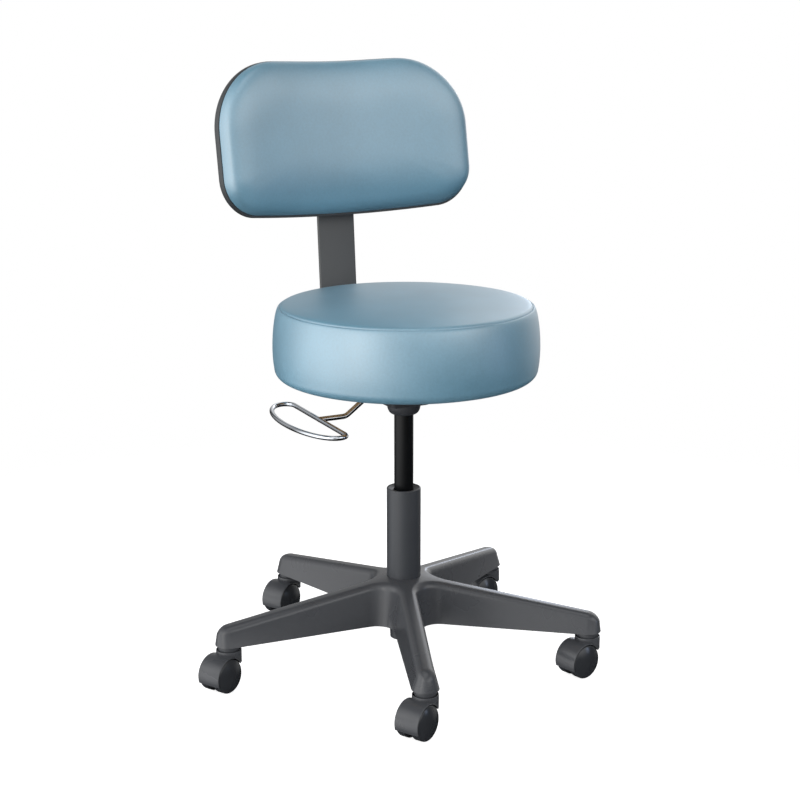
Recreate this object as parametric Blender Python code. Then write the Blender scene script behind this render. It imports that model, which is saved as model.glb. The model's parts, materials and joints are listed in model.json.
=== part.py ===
"""A gas-lift swivel stool with a padded back, on a five-leg base with twin-wheel casters.

Metres, +Z up. The column axis stands on the origin, the seat faces -Y, and the sitter's
right hand, where the release lever is, lies towards -X.
"""

import math

import bmesh
import bpy
from mathutils import Matrix, Vector

MM = 0.001

# Fits
FIT_GAP = 0.3 * MM
RUNNING_GAP = 0.4 * MM

# Seat
SEAT_DIAMETER = 381 * MM
SEAT_SEAM_HEIGHT = 537 * MM
SEAT_THICKNESS = 102.5 * MM
SEAT_SEAM_INSET = 8.5 * MM
SEAT_BULGE_DROP = 58 * MM
SEAT_BOTTOM_INSET = 2.2 * MM
SEAT_BOTTOM_RADIUS = 14 * MM
SEAT_SIDE_FULLNESS = 0.9
SEAT_CROWN = 4.2 * MM
SEAT_SEAM_GROOVE = 2 * MM
SEAT_RIM_RISE = 2.8 * MM
SEAT_RIM_ROLL = 4.2 * MM
SEAT_FORWARD = 7.5 * MM
BOARD_BORDER = 3 * MM
BOARD_THICKNESS = 12 * MM

# Control housing under the seat
PLATE_WIDTH = 150 * MM
PLATE_LENGTH = 130 * MM
PLATE_THICKNESS = 3 * MM
HOUSING_WIDTH = 62 * MM
HOUSING_LENGTH = 52 * MM
HOUSING_DEPTH = 43.5 * MM
HOUSING_WALL = 2.5 * MM
HOUSING_CORNER = 6 * MM
CUP_DEPTH = 14.5 * MM
CUP_TOP_DIAMETER = 49 * MM
CUP_LIP = 2 * MM
SEAT_BOLT_DIAMETER = 6 * MM
SEAT_BOLT_EDGE = 15 * MM
BOLT_GRIP = 9 * MM
BOLT_HEAD_HEIGHT = 4 * MM

# Gas lift
GAS_TUBE_DIAMETER = 28 * MM
GAS_TUBE_WALL = 1.6 * MM
GAS_TUBE_SINK = 100 * MM
GAS_TAPER = 2.4 * MM
TUBE_STAND = 14 * MM
TUBE_HEAD = 40 * MM
VALVE_PIN_DIAMETER = 8 * MM
VALVE_PIN_SEAT = 10.5 * MM
VALVE_PIN_TRAVEL = 3.5 * MM
GLAND_LENGTH = 20 * MM
ROD_DIAMETER = 10 * MM
ROD_FOOT_DIAMETER = 8 * MM
PISTON_LENGTH = 20 * MM
PISTON_ABOVE_GLAND = 30 * MM
COLUMN_DIAMETER = 50 * MM
COLUMN_FOOT_DIAMETER = 40 * MM
COLUMN_WALL = 2 * MM
COLUMN_TOP = 265 * MM
COLUMN_BOTTOM = 34 * MM
COLUMN_FLOOR = 4 * MM
COLUMN_LIP = 1.5 * MM
BUSH_LENGTH = 80 * MM
RACE_THICKNESS = 3 * MM
RACE_DIAMETER = 28 * MM
BUMP_LENGTH = 10 * MM
BUMP_DIAMETER = 24 * MM
CLIP_THICKNESS = 2 * MM
CLIP_DIAMETER = 18 * MM
ROD_TAIL = 3 * MM

# Release lever
LEVER_WIRE = 7.6 * MM
LEVER_BELOW_SEAT = 16 * MM
LEVER_PIVOT_OUT = 18 * MM
LEVER_PIN_DIAMETER = 6 * MM
LEVER_PIN_HEAD = 9 * MM
LEVER_PIN_HEAD_THICKNESS = 2 * MM
LEVER_BLOCK = 13 * MM
LEVER_TONGUE = 2 * MM
LEVER_KNEE_OUT = 44.5 * MM
LEVER_ELBOW_OUT = 93.5 * MM
LEVER_BEND = 16 * MM
LEVER_LIFT_DEG = 8
LOOP_WIRE = 6.8 * MM
LOOP_WELD = 1 * MM
LOOP_DROP = 35.5 * MM
LOOP_OUT = 135.5 * MM
LOOP_REACH = 54 * MM
LOOP_HALF_LENGTH = 106 * MM
LOOP_CORNER = 14 * MM
LOOP_TOE_DEG = 2.5

# Back bar, its channel under the seat and the depth knob
BAR_WIDTH = 60 * MM
BAR_THICKNESS = 6 * MM
BAR_BELOW_SEAT = 7.5 * MM
BAR_LEAN_DEG = 4.4
BAR_BEHIND = 218.5 * MM
BAR_BEHIND_HEIGHT = 585 * MM
BAR_BEND = 26 * MM
BAR_FRONT_END = 66 * MM
BAR_PAST_STUD = 44.5 * MM
CHANNEL_START = 86 * MM
CHANNEL_LENGTH = 54 * MM
CHANNEL_WALL = 2.5 * MM
CHANNEL_FLANGE = 20 * MM
CHANNEL_BOLT_DIAMETER = 5 * MM
KNOB_DIAMETER = 38 * MM
KNOB_HEIGHT = 20 * MM
KNOB_NECK_DIAMETER = 18 * MM
KNOB_NECK_LENGTH = 5 * MM
KNOB_STUD_DIAMETER = 8 * MM
KNOB_LOBES = 6
KNOB_LOBE_DEPTH = 2.2 * MM

# Backrest
BACK_WIDTH = 418 * MM
BACK_HEIGHT = 222 * MM
BACK_CENTRE_HEIGHT = 757.5 * MM
BACK_STAND = 9 * MM
BACK_LEAN_DEG = 8.5
BACK_CURVE_RADIUS = 735 * MM
BACK_TOP_CORNER = 103 * MM
BACK_BOTTOM_CORNER = 54 * MM
BACK_BOTTOM_BOW = 8.5 * MM
SHELL_RIM = 12 * MM
SHELL_WALL = 3.5 * MM
SHELL_EDGE = 4 * MM
PANEL_THICKNESS = 8 * MM
PANEL_MARGIN = 5 * MM
CUSHION_THICKNESS = 33 * MM
CUSHION_EDGE = 26 * MM
CUSHION_ROLL = 0.86
CUSHION_TUCK = 2 * MM
SLEEVE_WIDTH = 104 * MM
SLEEVE_BELOW = 98 * MM
SLEEVE_ABOVE = 68 * MM
SLEEVE_COVER = 5 * MM
SLEEVE_SLOT_ABOVE = 60 * MM
SLEEVE_FLAT = 2 / 3
SLEEVE_FALL = 3.2 * MM
BACK_SCREW_DIAMETER = 5 * MM
BACK_SCREW_HEAD = 9 * MM
BACK_SCREW_HEAD_DEPTH = 3 * MM
BACK_SCREW_SEAT = 5 * MM
BACK_SCREW_SPREAD = 84 * MM
BACK_SCREW_PITCH = 110 * MM
BACK_SCREW_DROP = 12 * MM
HEIGHT_KNOB_DROP = 30 * MM

# Star base
LEG_COUNT = 5
STEM_CIRCLE_DIAMETER = 548 * MM
LEG_HUB_TOP = 130 * MM
LEG_TIP_TOP = 93 * MM
LEG_UNDERSIDE = 64 * MM
LEG_HUB_WIDTH = 40 * MM
LEG_TIP_WIDTH = 38.5 * MM
LEG_FILLET = 26 * MM
LEG_EDGE = 10 * MM
LEG_DRAFT = 6 * MM
LEG_WALL = 4 * MM
LEG_RIBS = 2
HUB_WALL = 12 * MM
HUB_LAND = 8 * MM
NECK_DIAMETER = 31 * MM
NECK_DROP = 8 * MM
SOCKET_DEPTH = 17 * MM
BASE_TURN_DEG = -21.9

# Casters
WHEEL_DIAMETER = 50 * MM
WHEEL_TREAD = 11.5 * MM
WHEEL_EDGE = 1.6 * MM
WHEEL_DOME = 5 * MM
CASTER_TRAIL = 19 * MM
CASTER_TURNS_DEG = (27, 12, 12, 27, 27)
CASTER_WEB = 11 * MM
AXLE_DIAMETER = 6 * MM
AXLE_REACH = 9.5 * MM
HOOD_WALL = 1.9 * MM
HOOD_CLEARANCE = 1.2 * MM
HOOD_GROUND = 16 * MM
COLLAR_WALL = 1.2 * MM
COLLAR_GAP = 1.6 * MM
COLLAR_RISE = 1 * MM
COLLAR_RECESS = 4.5 * MM
COLLAR_LENGTH = 21 * MM
STEM_DIAMETER = 11 * MM
STEM_FOOT_DIAMETER = 6.5 * MM
STEM_FOOT_LENGTH = 18 * MM
STEM_SHOULDER = 6 * MM

# Facets
SEAT_STEPS = 40
WHEEL_STEPS = 20
HOOD_STEPS = 20
ROUND_STEPS = 24
RING_STEPS = 16
PIN_STEPS = 12
STEM_STEPS = 10
HOLE_STEPS = 8
HEX_SIDES = 6
BEND_STEPS = 5
BAR_BEND_STEPS = 8
LOOP_STEPS = 18
LOBE_STEPS = 6
ROLL_STEPS = 3
LEG_EDGE_STEPS = 3
VALLEY_STEPS = 4
TIP_STEPS = 5
BACK_CORNER_STEPS = 6
BACK_EDGE_STEPS = 4
SLEEVE_COLUMNS = 6
SLEEVE_ROWS = 3
WELL_STEPS = 10
CROWN_SHARES = (0.5, 0.85)
BACK_FACE_SHARES = (0.3, 0.65, 1)
PAD_FRONT_SHARES = (0.88, 0.6, 0.3)

# Levels and places that several pieces share
SEAT_RADIUS = SEAT_DIAMETER / 2
SEAT_BOTTOM = SEAT_SEAM_HEIGHT - SEAT_THICKNESS
SEAT_BOTTOM_FLAT = SEAT_RADIUS - SEAT_BOTTOM_INSET - SEAT_BOTTOM_RADIUS
BOARD_POCKET_RADIUS = SEAT_BOTTOM_FLAT - BOARD_BORDER
BOARD_RADIUS = BOARD_POCKET_RADIUS - FIT_GAP
PLATE_TOP = SEAT_BOTTOM - FIT_GAP
PLATE_BOTTOM = PLATE_TOP - PLATE_THICKNESS
BOX_BOTTOM = SEAT_BOTTOM - HOUSING_DEPTH
CUP_BOTTOM = BOX_BOTTOM - CUP_DEPTH
TUBE_RADIUS = GAS_TUBE_DIAMETER / 2
TUBE_BORE_RADIUS = TUBE_RADIUS - GAS_TUBE_WALL
TUBE_TOP = BOX_BOTTOM + TUBE_STAND
TUBE_TOP_RADIUS = TUBE_RADIUS - GAS_TAPER / 2
TUBE_BOTTOM = COLUMN_TOP - GAS_TUBE_SINK
GLAND_BOTTOM = TUBE_BOTTOM + COLUMN_LIP
GLAND_TOP = GLAND_BOTTOM + GLAND_LENGTH
LEVER_LEVEL = SEAT_BOTTOM - LEVER_BELOW_SEAT
LOOP_LEVEL = LEVER_LEVEL - LOOP_DROP
VALVE_PIN_TOP = LEVER_LEVEL - LEVER_WIRE / 2 - FIT_GAP
VALVE_PIN_BOTTOM = TUBE_TOP - VALVE_PIN_SEAT
COLUMN_RADIUS = COLUMN_DIAMETER / 2
COLUMN_BORE_RADIUS = COLUMN_RADIUS - COLUMN_WALL
COLUMN_FOOT_RADIUS = COLUMN_FOOT_DIAMETER / 2
COLUMN_FLOOR_TOP = COLUMN_BOTTOM + COLUMN_FLOOR
LOWER_RACE_BOTTOM = COLUMN_FLOOR_TOP + FIT_GAP
UPPER_RACE_BOTTOM = LOWER_RACE_BOTTOM + RACE_THICKNESS + FIT_GAP
BUMP_BOTTOM = UPPER_RACE_BOTTOM + RACE_THICKNESS + FIT_GAP
ROD_SHOULDER = BUMP_BOTTOM + BUMP_LENGTH + FIT_GAP
CLIP_TOP = COLUMN_BOTTOM - FIT_GAP
ROD_BOTTOM = CLIP_TOP - CLIP_THICKNESS - ROD_TAIL
BAR_LEVEL = SEAT_BOTTOM - BAR_BELOW_SEAT
BAR_LEAN = math.radians(BAR_LEAN_DEG)
BAR_UP = Vector((0, math.sin(BAR_LEAN), math.cos(BAR_LEAN)))
BAR_REAR = Vector((0, math.cos(BAR_LEAN), -math.sin(BAR_LEAN)))
CHANNEL_FLOOR_TOP = BAR_LEVEL - BAR_THICKNESS / 2 - RUNNING_GAP
CHANNEL_MIDDLE = CHANNEL_START + CHANNEL_LENGTH / 2
BACK_LEAN = math.radians(BACK_LEAN_DEG)
BACK_UP = Vector((0, math.sin(BACK_LEAN), math.cos(BACK_LEAN)))
BACK_FRONT = Vector((0, -math.cos(BACK_LEAN), math.sin(BACK_LEAN)))
BACK_BEHIND = BAR_BEHIND + (BACK_CENTRE_HEIGHT - BAR_BEHIND_HEIGHT) * math.tan(BAR_LEAN) - BACK_STAND
BACK_CENTRE = Vector((0, BACK_BEHIND, BACK_CENTRE_HEIGHT))
HEIGHT_STUD_LEVEL = BACK_CENTRE_HEIGHT - HEIGHT_KNOB_DROP
BAR_TOP = HEIGHT_STUD_LEVEL + BAR_PAST_STUD
PANEL_REAR = SHELL_WALL + FIT_GAP
PANEL_FRONT = PANEL_REAR + PANEL_THICKNESS
CUSHION_REAR = max(SHELL_RIM, PANEL_FRONT) + FIT_GAP
STEM_CIRCLE = STEM_CIRCLE_DIAMETER / 2
TAPER_TOP = LEG_HUB_TOP - HUB_LAND
NECK_BOTTOM = LEG_UNDERSIDE - NECK_DROP
WHEEL_RADIUS = WHEEL_DIAMETER / 2
HOOD_INNER_RADIUS = WHEEL_RADIUS + HOOD_CLEARANCE
HOOD_RADIUS = HOOD_INNER_RADIUS + HOOD_WALL
WHEEL_INNER = CASTER_WEB / 2 + RUNNING_GAP
HOOD_HALF_WIDTH = WHEEL_INNER + WHEEL_TREAD + WHEEL_EDGE
COLLAR_TOP = NECK_BOTTOM + COLLAR_RISE
COLLAR_FLOOR = COLLAR_TOP - COLLAR_RECESS
COLLAR_RADIUS = NECK_DIAMETER / 2 + COLLAR_GAP + COLLAR_WALL
STEM_SEAT = COLLAR_FLOOR - STEM_SHOULDER


def clear_scene() -> None:
    """Remove every object of the scene."""
    for obj in list(bpy.data.objects):
        bpy.data.objects.remove(obj, do_unlink=True)


def hex_to_linear(code: str) -> tuple:
    """Linear RGBA of an sRGB hex colour."""
    shares = [int(code[i : i + 2], 16) / 255 for i in (0, 2, 4)]
    linear = [c / 12.92 if c <= 0.04045 else ((c + 0.055) / 1.055) ** 2.4 for c in shares]
    return (*linear, 1.0)


def make_material(name: str, colour: str, roughness: float, metallic: float = 0.0):
    """A Principled material of one colour."""
    material = bpy.data.materials.new(name)
    material.use_nodes = True
    shader = material.node_tree.nodes["Principled BSDF"]
    shader.inputs["Base Color"].default_value = hex_to_linear(colour)
    shader.inputs["Roughness"].default_value = roughness
    shader.inputs["Metallic"].default_value = metallic
    material.diffuse_color = hex_to_linear(colour)
    return material


def finish_mesh(bm, name: str):
    """A mesh from a closed bmesh, welded, with its faces pointing out."""
    bmesh.ops.remove_doubles(bm, verts=bm.verts, dist=1e-6)
    bmesh.ops.recalc_face_normals(bm, faces=bm.faces)
    mesh = bpy.data.meshes.new(name)
    bm.to_mesh(mesh)
    bm.free()
    return mesh


def turned(name: str, profile: list, steps: int, half_step: bool = False):
    """A solid of revolution about Z from (radius, height) points; both ends lie on the axis or meet."""
    bm = bmesh.new()
    start = math.pi / steps if half_step else 0.0
    verts = [bm.verts.new((r * math.cos(start), r * math.sin(start), z)) for r, z in profile]
    ends = list(zip(verts, verts[1:]))
    if profile[0][0] > 0 and profile[-1][0] > 0:
        ends.append((verts[-1], verts[0]))
    edges = [bm.edges.new(pair) for pair in ends]
    bmesh.ops.spin(
        bm, geom=verts + edges, axis=(0, 0, 1), cent=(0, 0, 0), angle=2 * math.pi, steps=steps, use_merge=True
    )
    return finish_mesh(bm, name)


def cylinder(name: str, radius: float, low: float, high: float, steps: int = ROUND_STEPS):
    """A plain cylinder about Z."""
    return turned(name, [(0, high), (radius, high), (radius, low), (0, low)], steps)


def tube(name: str, outer: float, inner: float, low: float, high: float, steps: int = RING_STEPS):
    """A plain ring about Z."""
    return turned(name, [(inner, high), (outer, high), (outer, low), (inner, low)], steps)


def prism(name: str, outline: list, low: float, high: float):
    """An outline in XY extruded along Z."""
    bm = bmesh.new()
    face = bm.faces.new([bm.verts.new((x, y, low)) for x, y in outline])
    lifted = bmesh.ops.extrude_face_region(bm, geom=[face])["geom"]
    moved = [item for item in lifted if isinstance(item, bmesh.types.BMVert)]
    bmesh.ops.translate(bm, verts=moved, vec=(0, 0, high - low))
    return finish_mesh(bm, name)


def block(name: str, low: tuple, high: tuple):
    """A box between two corners."""
    outline = [(low[0], low[1]), (high[0], low[1]), (high[0], high[1]), (low[0], high[1])]
    return prism(name, outline, low[2], high[2])


def rounded_rectangle(width: float, length: float, radius: float, steps: int = ROLL_STEPS) -> list:
    """Outline of a rectangle about the origin with round corners."""
    points = []
    for k, (sx, sy) in enumerate(((1, 1), (-1, 1), (-1, -1), (1, -1))):
        for i in range(steps + 1):
            angle = math.pi / 2 * (k + i / steps)
            x = sx * (width / 2 - radius) + radius * math.cos(angle)
            y = sy * (length / 2 - radius) + radius * math.sin(angle)
            points.append((x, y))
    return points


def quarter_turn(steps: int) -> list:
    """Angles from 0 to a right angle in equal steps."""
    return [math.pi / 2 * i / steps for i in range(steps + 1)]


def ring_size(ring: list) -> float:
    """How far a ring's points lie from their middle, summed."""
    middle = sum(ring, Vector((0, 0, 0))) / len(ring)
    return sum((p - middle).length for p in ring)


def loft(name: str, rings: list, first: Vector, last: Vector):
    """A solid skinned over closed rings of equally many points, closed by a fan to a point at each end.

    Each quad is split from the smaller ring to the larger, so that curved faces that lie on each other
    have the same facets.
    """
    bm = bmesh.new()
    loops = [[bm.verts.new(p) for p in ring] for ring in rings]
    sizes = [ring_size(ring) for ring in rings]
    for k in range(len(loops) - 1):
        small, large = (k, k + 1) if sizes[k] < sizes[k + 1] else (k + 1, k)
        for i in range(len(loops[k])):
            j = (i + 1) % len(loops[k])
            bm.faces.new((loops[small][i], loops[large][i], loops[large][j]))
            bm.faces.new((loops[small][i], loops[large][j], loops[small][j]))
    for loop, point in ((loops[0], first), (loops[-1], last)):
        tip = bm.verts.new(point)
        for i in range(len(loop)):
            bm.faces.new((tip, loop[i], loop[(i + 1) % len(loop)]))
    return finish_mesh(bm, name)


def wire(name: str, points: list, radius: float, closed: bool):
    """A round wire along a path, made by a bevelled curve."""
    curve = bpy.data.curves.new(name, "CURVE")
    curve.dimensions = "3D"
    curve.bevel_depth = radius
    curve.bevel_resolution = 2
    curve.use_fill_caps = True
    spline = curve.splines.new("POLY")
    spline.points.add(len(points) - 1)
    for point, place in zip(spline.points, points):
        point.co = (*place, 1.0)
    spline.use_cyclic_u = closed
    holder = bpy.data.objects.new(name, curve)
    bpy.context.scene.collection.objects.link(holder)
    graph = bpy.context.evaluated_depsgraph_get()
    mesh = bpy.data.meshes.new_from_object(holder.evaluated_get(graph))
    bpy.data.objects.remove(holder, do_unlink=True)
    bm = bmesh.new()
    bm.from_mesh(mesh)
    return finish_mesh(bm, name)


def moved(mesh, matrix: Matrix):
    """The same mesh with a placement applied."""
    mesh.transform(matrix)
    return mesh


def joined(name: str, meshes: list):
    """Meshes that don't touch, in one mesh."""
    bm = bmesh.new()
    for mesh in meshes:
        bm.from_mesh(mesh)
    return finish_mesh(bm, name)


def combined(name: str, body, tools: list):
    """The body after Booleans with (operation, mesh) pairs, in order."""
    holder = bpy.data.objects.new(name, body)
    bpy.context.scene.collection.objects.link(holder)
    helpers = [holder]
    for operation, mesh in tools:
        helper = bpy.data.objects.new(name + "_tool", mesh)
        bpy.context.scene.collection.objects.link(helper)
        helpers.append(helper)
        modifier = holder.modifiers.new(operation.lower(), "BOOLEAN")
        modifier.operation = operation
        modifier.solver = "EXACT"
        modifier.object = helper
    bpy.context.view_layer.update()
    graph = bpy.context.evaluated_depsgraph_get()
    mesh = bpy.data.meshes.new_from_object(holder.evaluated_get(graph))
    for helper in helpers:
        bpy.data.objects.remove(helper, do_unlink=True)
    mesh.name = name
    return mesh


def place(name: str, mesh, material, parent=None, crease_deg: float = 35):
    """An object of the part, shaded smooth below the crease angle."""
    if not mesh.materials:
        mesh.materials.append(material)
    mesh.materials[0] = material
    mesh.shade_smooth()
    mesh.set_sharp_from_angle(angle=math.radians(crease_deg))
    obj = bpy.data.objects.new(name, mesh)
    bpy.context.scene.collection.objects.link(obj)
    obj.parent = parent
    return obj


def pivot(name: str, location, turn=(0, 0, 0), parent=None):
    """An empty on a joint's axis."""
    empty = bpy.data.objects.new(name, None)
    empty.empty_display_size = 30 * MM
    bpy.context.scene.collection.objects.link(empty)
    empty.location = location
    empty.rotation_euler = turn
    empty.parent = parent
    return empty


def hang(obj, parent) -> None:
    """Parent an object whose mesh is already in world places, without moving it."""
    bpy.context.view_layer.update()
    obj.parent = parent
    obj.matrix_parent_inverse = parent.matrix_world.inverted()


# Star base


def leg_top(radius: float) -> float:
    """Height of the legs' sloping top at a distance from the column axis."""
    share = (radius - COLUMN_RADIUS) / (STEM_CIRCLE - COLUMN_RADIUS)
    return LEG_HUB_TOP + (LEG_TIP_TOP - LEG_HUB_TOP) * share


def leg_side(inset: float) -> list:
    """One side of a leg along +X in plan, from the valley between two legs to the tip, moved in by inset."""
    half = math.pi / LEG_COUNT
    tip = LEG_TIP_WIDTH / 2
    taper = math.atan2(LEG_HUB_WIDTH / 2 - tip, STEM_CIRCLE - COLUMN_RADIUS)
    normal = Vector((math.sin(taper), math.cos(taper)))
    reach = STEM_CIRCLE * math.sin(taper) + tip
    bisector = Vector((math.cos(half), math.sin(half)))
    centre = bisector * ((reach + LEG_FILLET) / bisector.dot(normal))
    radius = LEG_FILLET + inset
    points = []
    sweep = math.pi / 2 - half + taper
    for i in range(VALLEY_STEPS + 1):
        angle = math.pi + half + sweep * i / VALLEY_STEPS
        points.append(centre + radius * Vector((math.cos(angle), math.sin(angle))))
    start = points[-1]
    end = Vector((STEM_CIRCLE, 0)) + (tip - inset) * normal
    points.append(start.lerp(end, 0.5))
    for i in range(TIP_STEPS + 1):
        angle = (math.pi / 2 - taper) * (1 - i / TIP_STEPS)
        points.append(Vector((STEM_CIRCLE, 0)) + (tip - inset) * Vector((math.cos(angle), math.sin(angle))))
    return points


def star_ring(inset: float, level) -> list:
    """The whole star's outline moved in by inset, at the height that level gives for each radius."""
    side = leg_side(inset)
    far_side = [Vector((p.x, -p.y)) for p in side]
    leg = far_side[:-1] + side[:0:-1]
    ring = []
    for k in range(LEG_COUNT):
        turn = Matrix.Rotation(2 * math.pi * k / LEG_COUNT, 2)
        for p in leg:
            q = turn @ p
            ring.append(Vector((q.x, q.y, level(p.length))))
    return ring


def star_spine(inset: float) -> list:
    """For each point of the star's outline, where its top runs to: a leg's centre line, or the axis."""
    inward = []
    for i, p in enumerate(leg_side(inset)):
        inward.append(Vector((0, 0)) if i <= VALLEY_STEPS else Vector((min(p.x, STEM_CIRCLE), 0)))
    leg = inward[:-1] + inward[:0:-1]
    ring = []
    for k in range(LEG_COUNT):
        turn = Matrix.Rotation(2 * math.pi * k / LEG_COUNT, 2)
        for p in leg:
            q = turn @ p
            ring.append(Vector((q.x, q.y, leg_top(p.length))))
    return ring


def star_solid():
    """The legs and hub as one solid with a flat underside, drafted sides and rounded top edges."""
    rings = [star_ring(0, lambda r: LEG_UNDERSIDE)]
    for angle in quarter_turn(LEG_EDGE_STEPS):
        inset = LEG_DRAFT + LEG_EDGE * (1 - math.cos(angle))
        drop = LEG_EDGE * (1 - math.sin(angle))
        rings.append(star_ring(inset, lambda r, drop=drop: leg_top(r) - drop))
    rings.append(star_spine(LEG_DRAFT + LEG_EDGE))
    bm = bmesh.new()
    loops = [[bm.verts.new(p) for p in ring] for ring in rings]
    bm.faces.new(loops[0])
    for lower, upper in zip(loops, loops[1:]):
        for i in range(len(lower)):
            j = (i + 1) % len(lower)
            corners = [lower[i], lower[j], upper[j], upper[i]]
            places = [c.co.to_tuple(7) for c in corners]
            kept = [c for n, c in enumerate(corners) if places[n] not in places[:n]]
            bm.faces.new(kept)
    return finish_mesh(bm, "star_base")


def leg_pockets():
    """The hollows that lighten the legs from below, parted by cross ribs."""
    tip = LEG_TIP_WIDTH / 2
    first = COLUMN_RADIUS + HUB_WALL + LEG_WALL
    last = STEM_CIRCLE - tip - LEG_WALL
    count = LEG_RIBS + 1
    length = (last - first - LEG_RIBS * LEG_WALL) / count
    pockets = []
    for n in range(count):
        low = first + n * (length + LEG_WALL)
        rings = []
        for x in (low, low + length):
            share = (x - COLUMN_RADIUS) / (STEM_CIRCLE - COLUMN_RADIUS)
            half = LEG_HUB_WIDTH / 2 + (tip - LEG_HUB_WIDTH / 2) * share - LEG_WALL
            top = leg_top(x) - LEG_WALL
            shoulder = top - LEG_EDGE
            narrow = half - LEG_DRAFT - LEG_EDGE / 2
            section = [(half, LEG_UNDERSIDE - LEG_WALL), (half - LEG_DRAFT, shoulder), (narrow, top)]
            section += [(-y, z) for y, z in reversed(section)]
            rings.append([Vector((x, y, z)) for y, z in section])
        bm = bmesh.new()
        loops = [[bm.verts.new(p) for p in ring] for ring in rings]
        for i in range(len(loops[0])):
            j = (i + 1) % len(loops[0])
            bm.faces.new((loops[0][i], loops[0][j], loops[1][j], loops[1][i]))
        bm.faces.new(loops[0])
        bm.faces.new(loops[1])
        pocket = finish_mesh(bm, "leg_pocket")
        for k in range(LEG_COUNT):
            copy = pocket.copy()
            pockets.append(moved(copy, Matrix.Rotation(2 * math.pi * k / LEG_COUNT, 4, "Z")))
    return joined("leg_pockets", pockets)


def at_each_leg(mesh) -> list:
    """Copies of a mesh made at the origin, one on each caster stem's axis."""
    copies = []
    for k in range(LEG_COUNT):
        turn = Matrix.Rotation(2 * math.pi * k / LEG_COUNT, 4, "Z")
        copies.append(moved(mesh.copy(), turn @ Matrix.Translation((STEM_CIRCLE, 0, 0))))
    return copies


def column_taper(height: float) -> float:
    """Outside radius of the column where it is seated in the hub."""
    share = (height - COLUMN_BOTTOM) / (TAPER_TOP - COLUMN_BOTTOM)
    return COLUMN_FOOT_RADIUS + (COLUMN_RADIUS - COLUMN_FOOT_RADIUS) * min(share, 1)


def star_base_mesh():
    """The moulded base: legs, hub, caster necks with sockets, and pockets below."""
    body = star_solid()
    neck = cylinder("neck", NECK_DIAMETER / 2, NECK_BOTTOM, LEG_UNDERSIDE + LEG_WALL, RING_STEPS)
    socket_radius = STEM_DIAMETER / 2 + FIT_GAP
    socket_top = LEG_UNDERSIDE + SOCKET_DEPTH
    socket = cylinder("socket", socket_radius, NECK_BOTTOM - LEG_WALL, socket_top, STEM_STEPS)
    hub_floor = LEG_UNDERSIDE - HUB_WALL
    hub = turned(
        "hub",
        [
            (0, LEG_UNDERSIDE + LEG_WALL),
            (COLUMN_RADIUS + HUB_WALL, LEG_UNDERSIDE + LEG_WALL),
            (column_taper(hub_floor) + LEG_WALL, hub_floor),
            (0, hub_floor),
        ],
        ROUND_STEPS,
    )
    bore = turned(
        "bore",
        [
            (0, LEG_HUB_TOP + HUB_WALL),
            (COLUMN_RADIUS + FIT_GAP, LEG_HUB_TOP + HUB_WALL),
            (COLUMN_RADIUS + FIT_GAP, TAPER_TOP),
            (COLUMN_FOOT_RADIUS + FIT_GAP, COLUMN_BOTTOM),
            (0, COLUMN_BOTTOM),
        ],
        ROUND_STEPS,
    )
    return combined(
        "star_base",
        body,
        [
            ("UNION", joined("necks", at_each_leg(neck))),
            ("UNION", hub),
            ("DIFFERENCE", joined("sockets", at_each_leg(socket))),
            ("DIFFERENCE", leg_pockets()),
            ("DIFFERENCE", bore),
        ],
    )


# Gas lift


def column_mesh():
    """The outer column: straight above the hub, tapered in it, with a floor that carries the rod."""
    floor_radius = column_taper(COLUMN_FLOOR_TOP) - COLUMN_WALL
    rod_hole = ROD_FOOT_DIAMETER / 2 + FIT_GAP
    profile = [
        (COLUMN_BORE_RADIUS, COLUMN_TOP),
        (COLUMN_RADIUS - COLUMN_LIP, COLUMN_TOP),
        (COLUMN_RADIUS, COLUMN_TOP - COLUMN_LIP),
        (COLUMN_RADIUS, TAPER_TOP),
        (COLUMN_FOOT_RADIUS, COLUMN_BOTTOM),
        (rod_hole, COLUMN_BOTTOM),
        (rod_hole, COLUMN_FLOOR_TOP),
        (floor_radius, COLUMN_FLOOR_TOP),
        (COLUMN_BORE_RADIUS, TAPER_TOP),
    ]
    return turned("column_tube", profile, ROUND_STEPS)


def guide_bush_mesh():
    """The plastic sleeve in the column's mouth that guides the gas tube."""
    outer = COLUMN_BORE_RADIUS - FIT_GAP
    inner = TUBE_RADIUS + FIT_GAP
    top = COLUMN_TOP - COLUMN_LIP / 2
    profile = [
        (inner + COLUMN_LIP, top),
        (outer, top),
        (outer, COLUMN_TOP - BUSH_LENGTH),
        (inner, COLUMN_TOP - BUSH_LENGTH),
        (inner, top - COLUMN_LIP),
    ]
    return turned("guide_bush", profile, ROUND_STEPS)


def gas_tube_mesh():
    """The gas spring's tube: bore open at the foot, tapered head with the valve pin's hole."""
    hole = VALVE_PIN_DIAMETER / 2 + FIT_GAP
    profile = [
        (0, TUBE_TOP - VALVE_PIN_SEAT - VALVE_PIN_TRAVEL),
        (hole, TUBE_TOP - VALVE_PIN_SEAT - VALVE_PIN_TRAVEL),
        (hole, TUBE_TOP),
        (TUBE_TOP_RADIUS - COLUMN_LIP, TUBE_TOP),
        (TUBE_TOP_RADIUS, TUBE_TOP - COLUMN_LIP),
        (TUBE_RADIUS, CUP_BOTTOM),
        (TUBE_RADIUS, TUBE_BOTTOM + COLUMN_LIP),
        (TUBE_RADIUS - COLUMN_LIP / 2, TUBE_BOTTOM),
        (TUBE_BORE_RADIUS, TUBE_BOTTOM),
        (TUBE_BORE_RADIUS, TUBE_TOP - TUBE_HEAD),
        (0, TUBE_TOP - TUBE_HEAD),
    ]
    return turned("gas_tube", profile, ROUND_STEPS)


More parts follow.
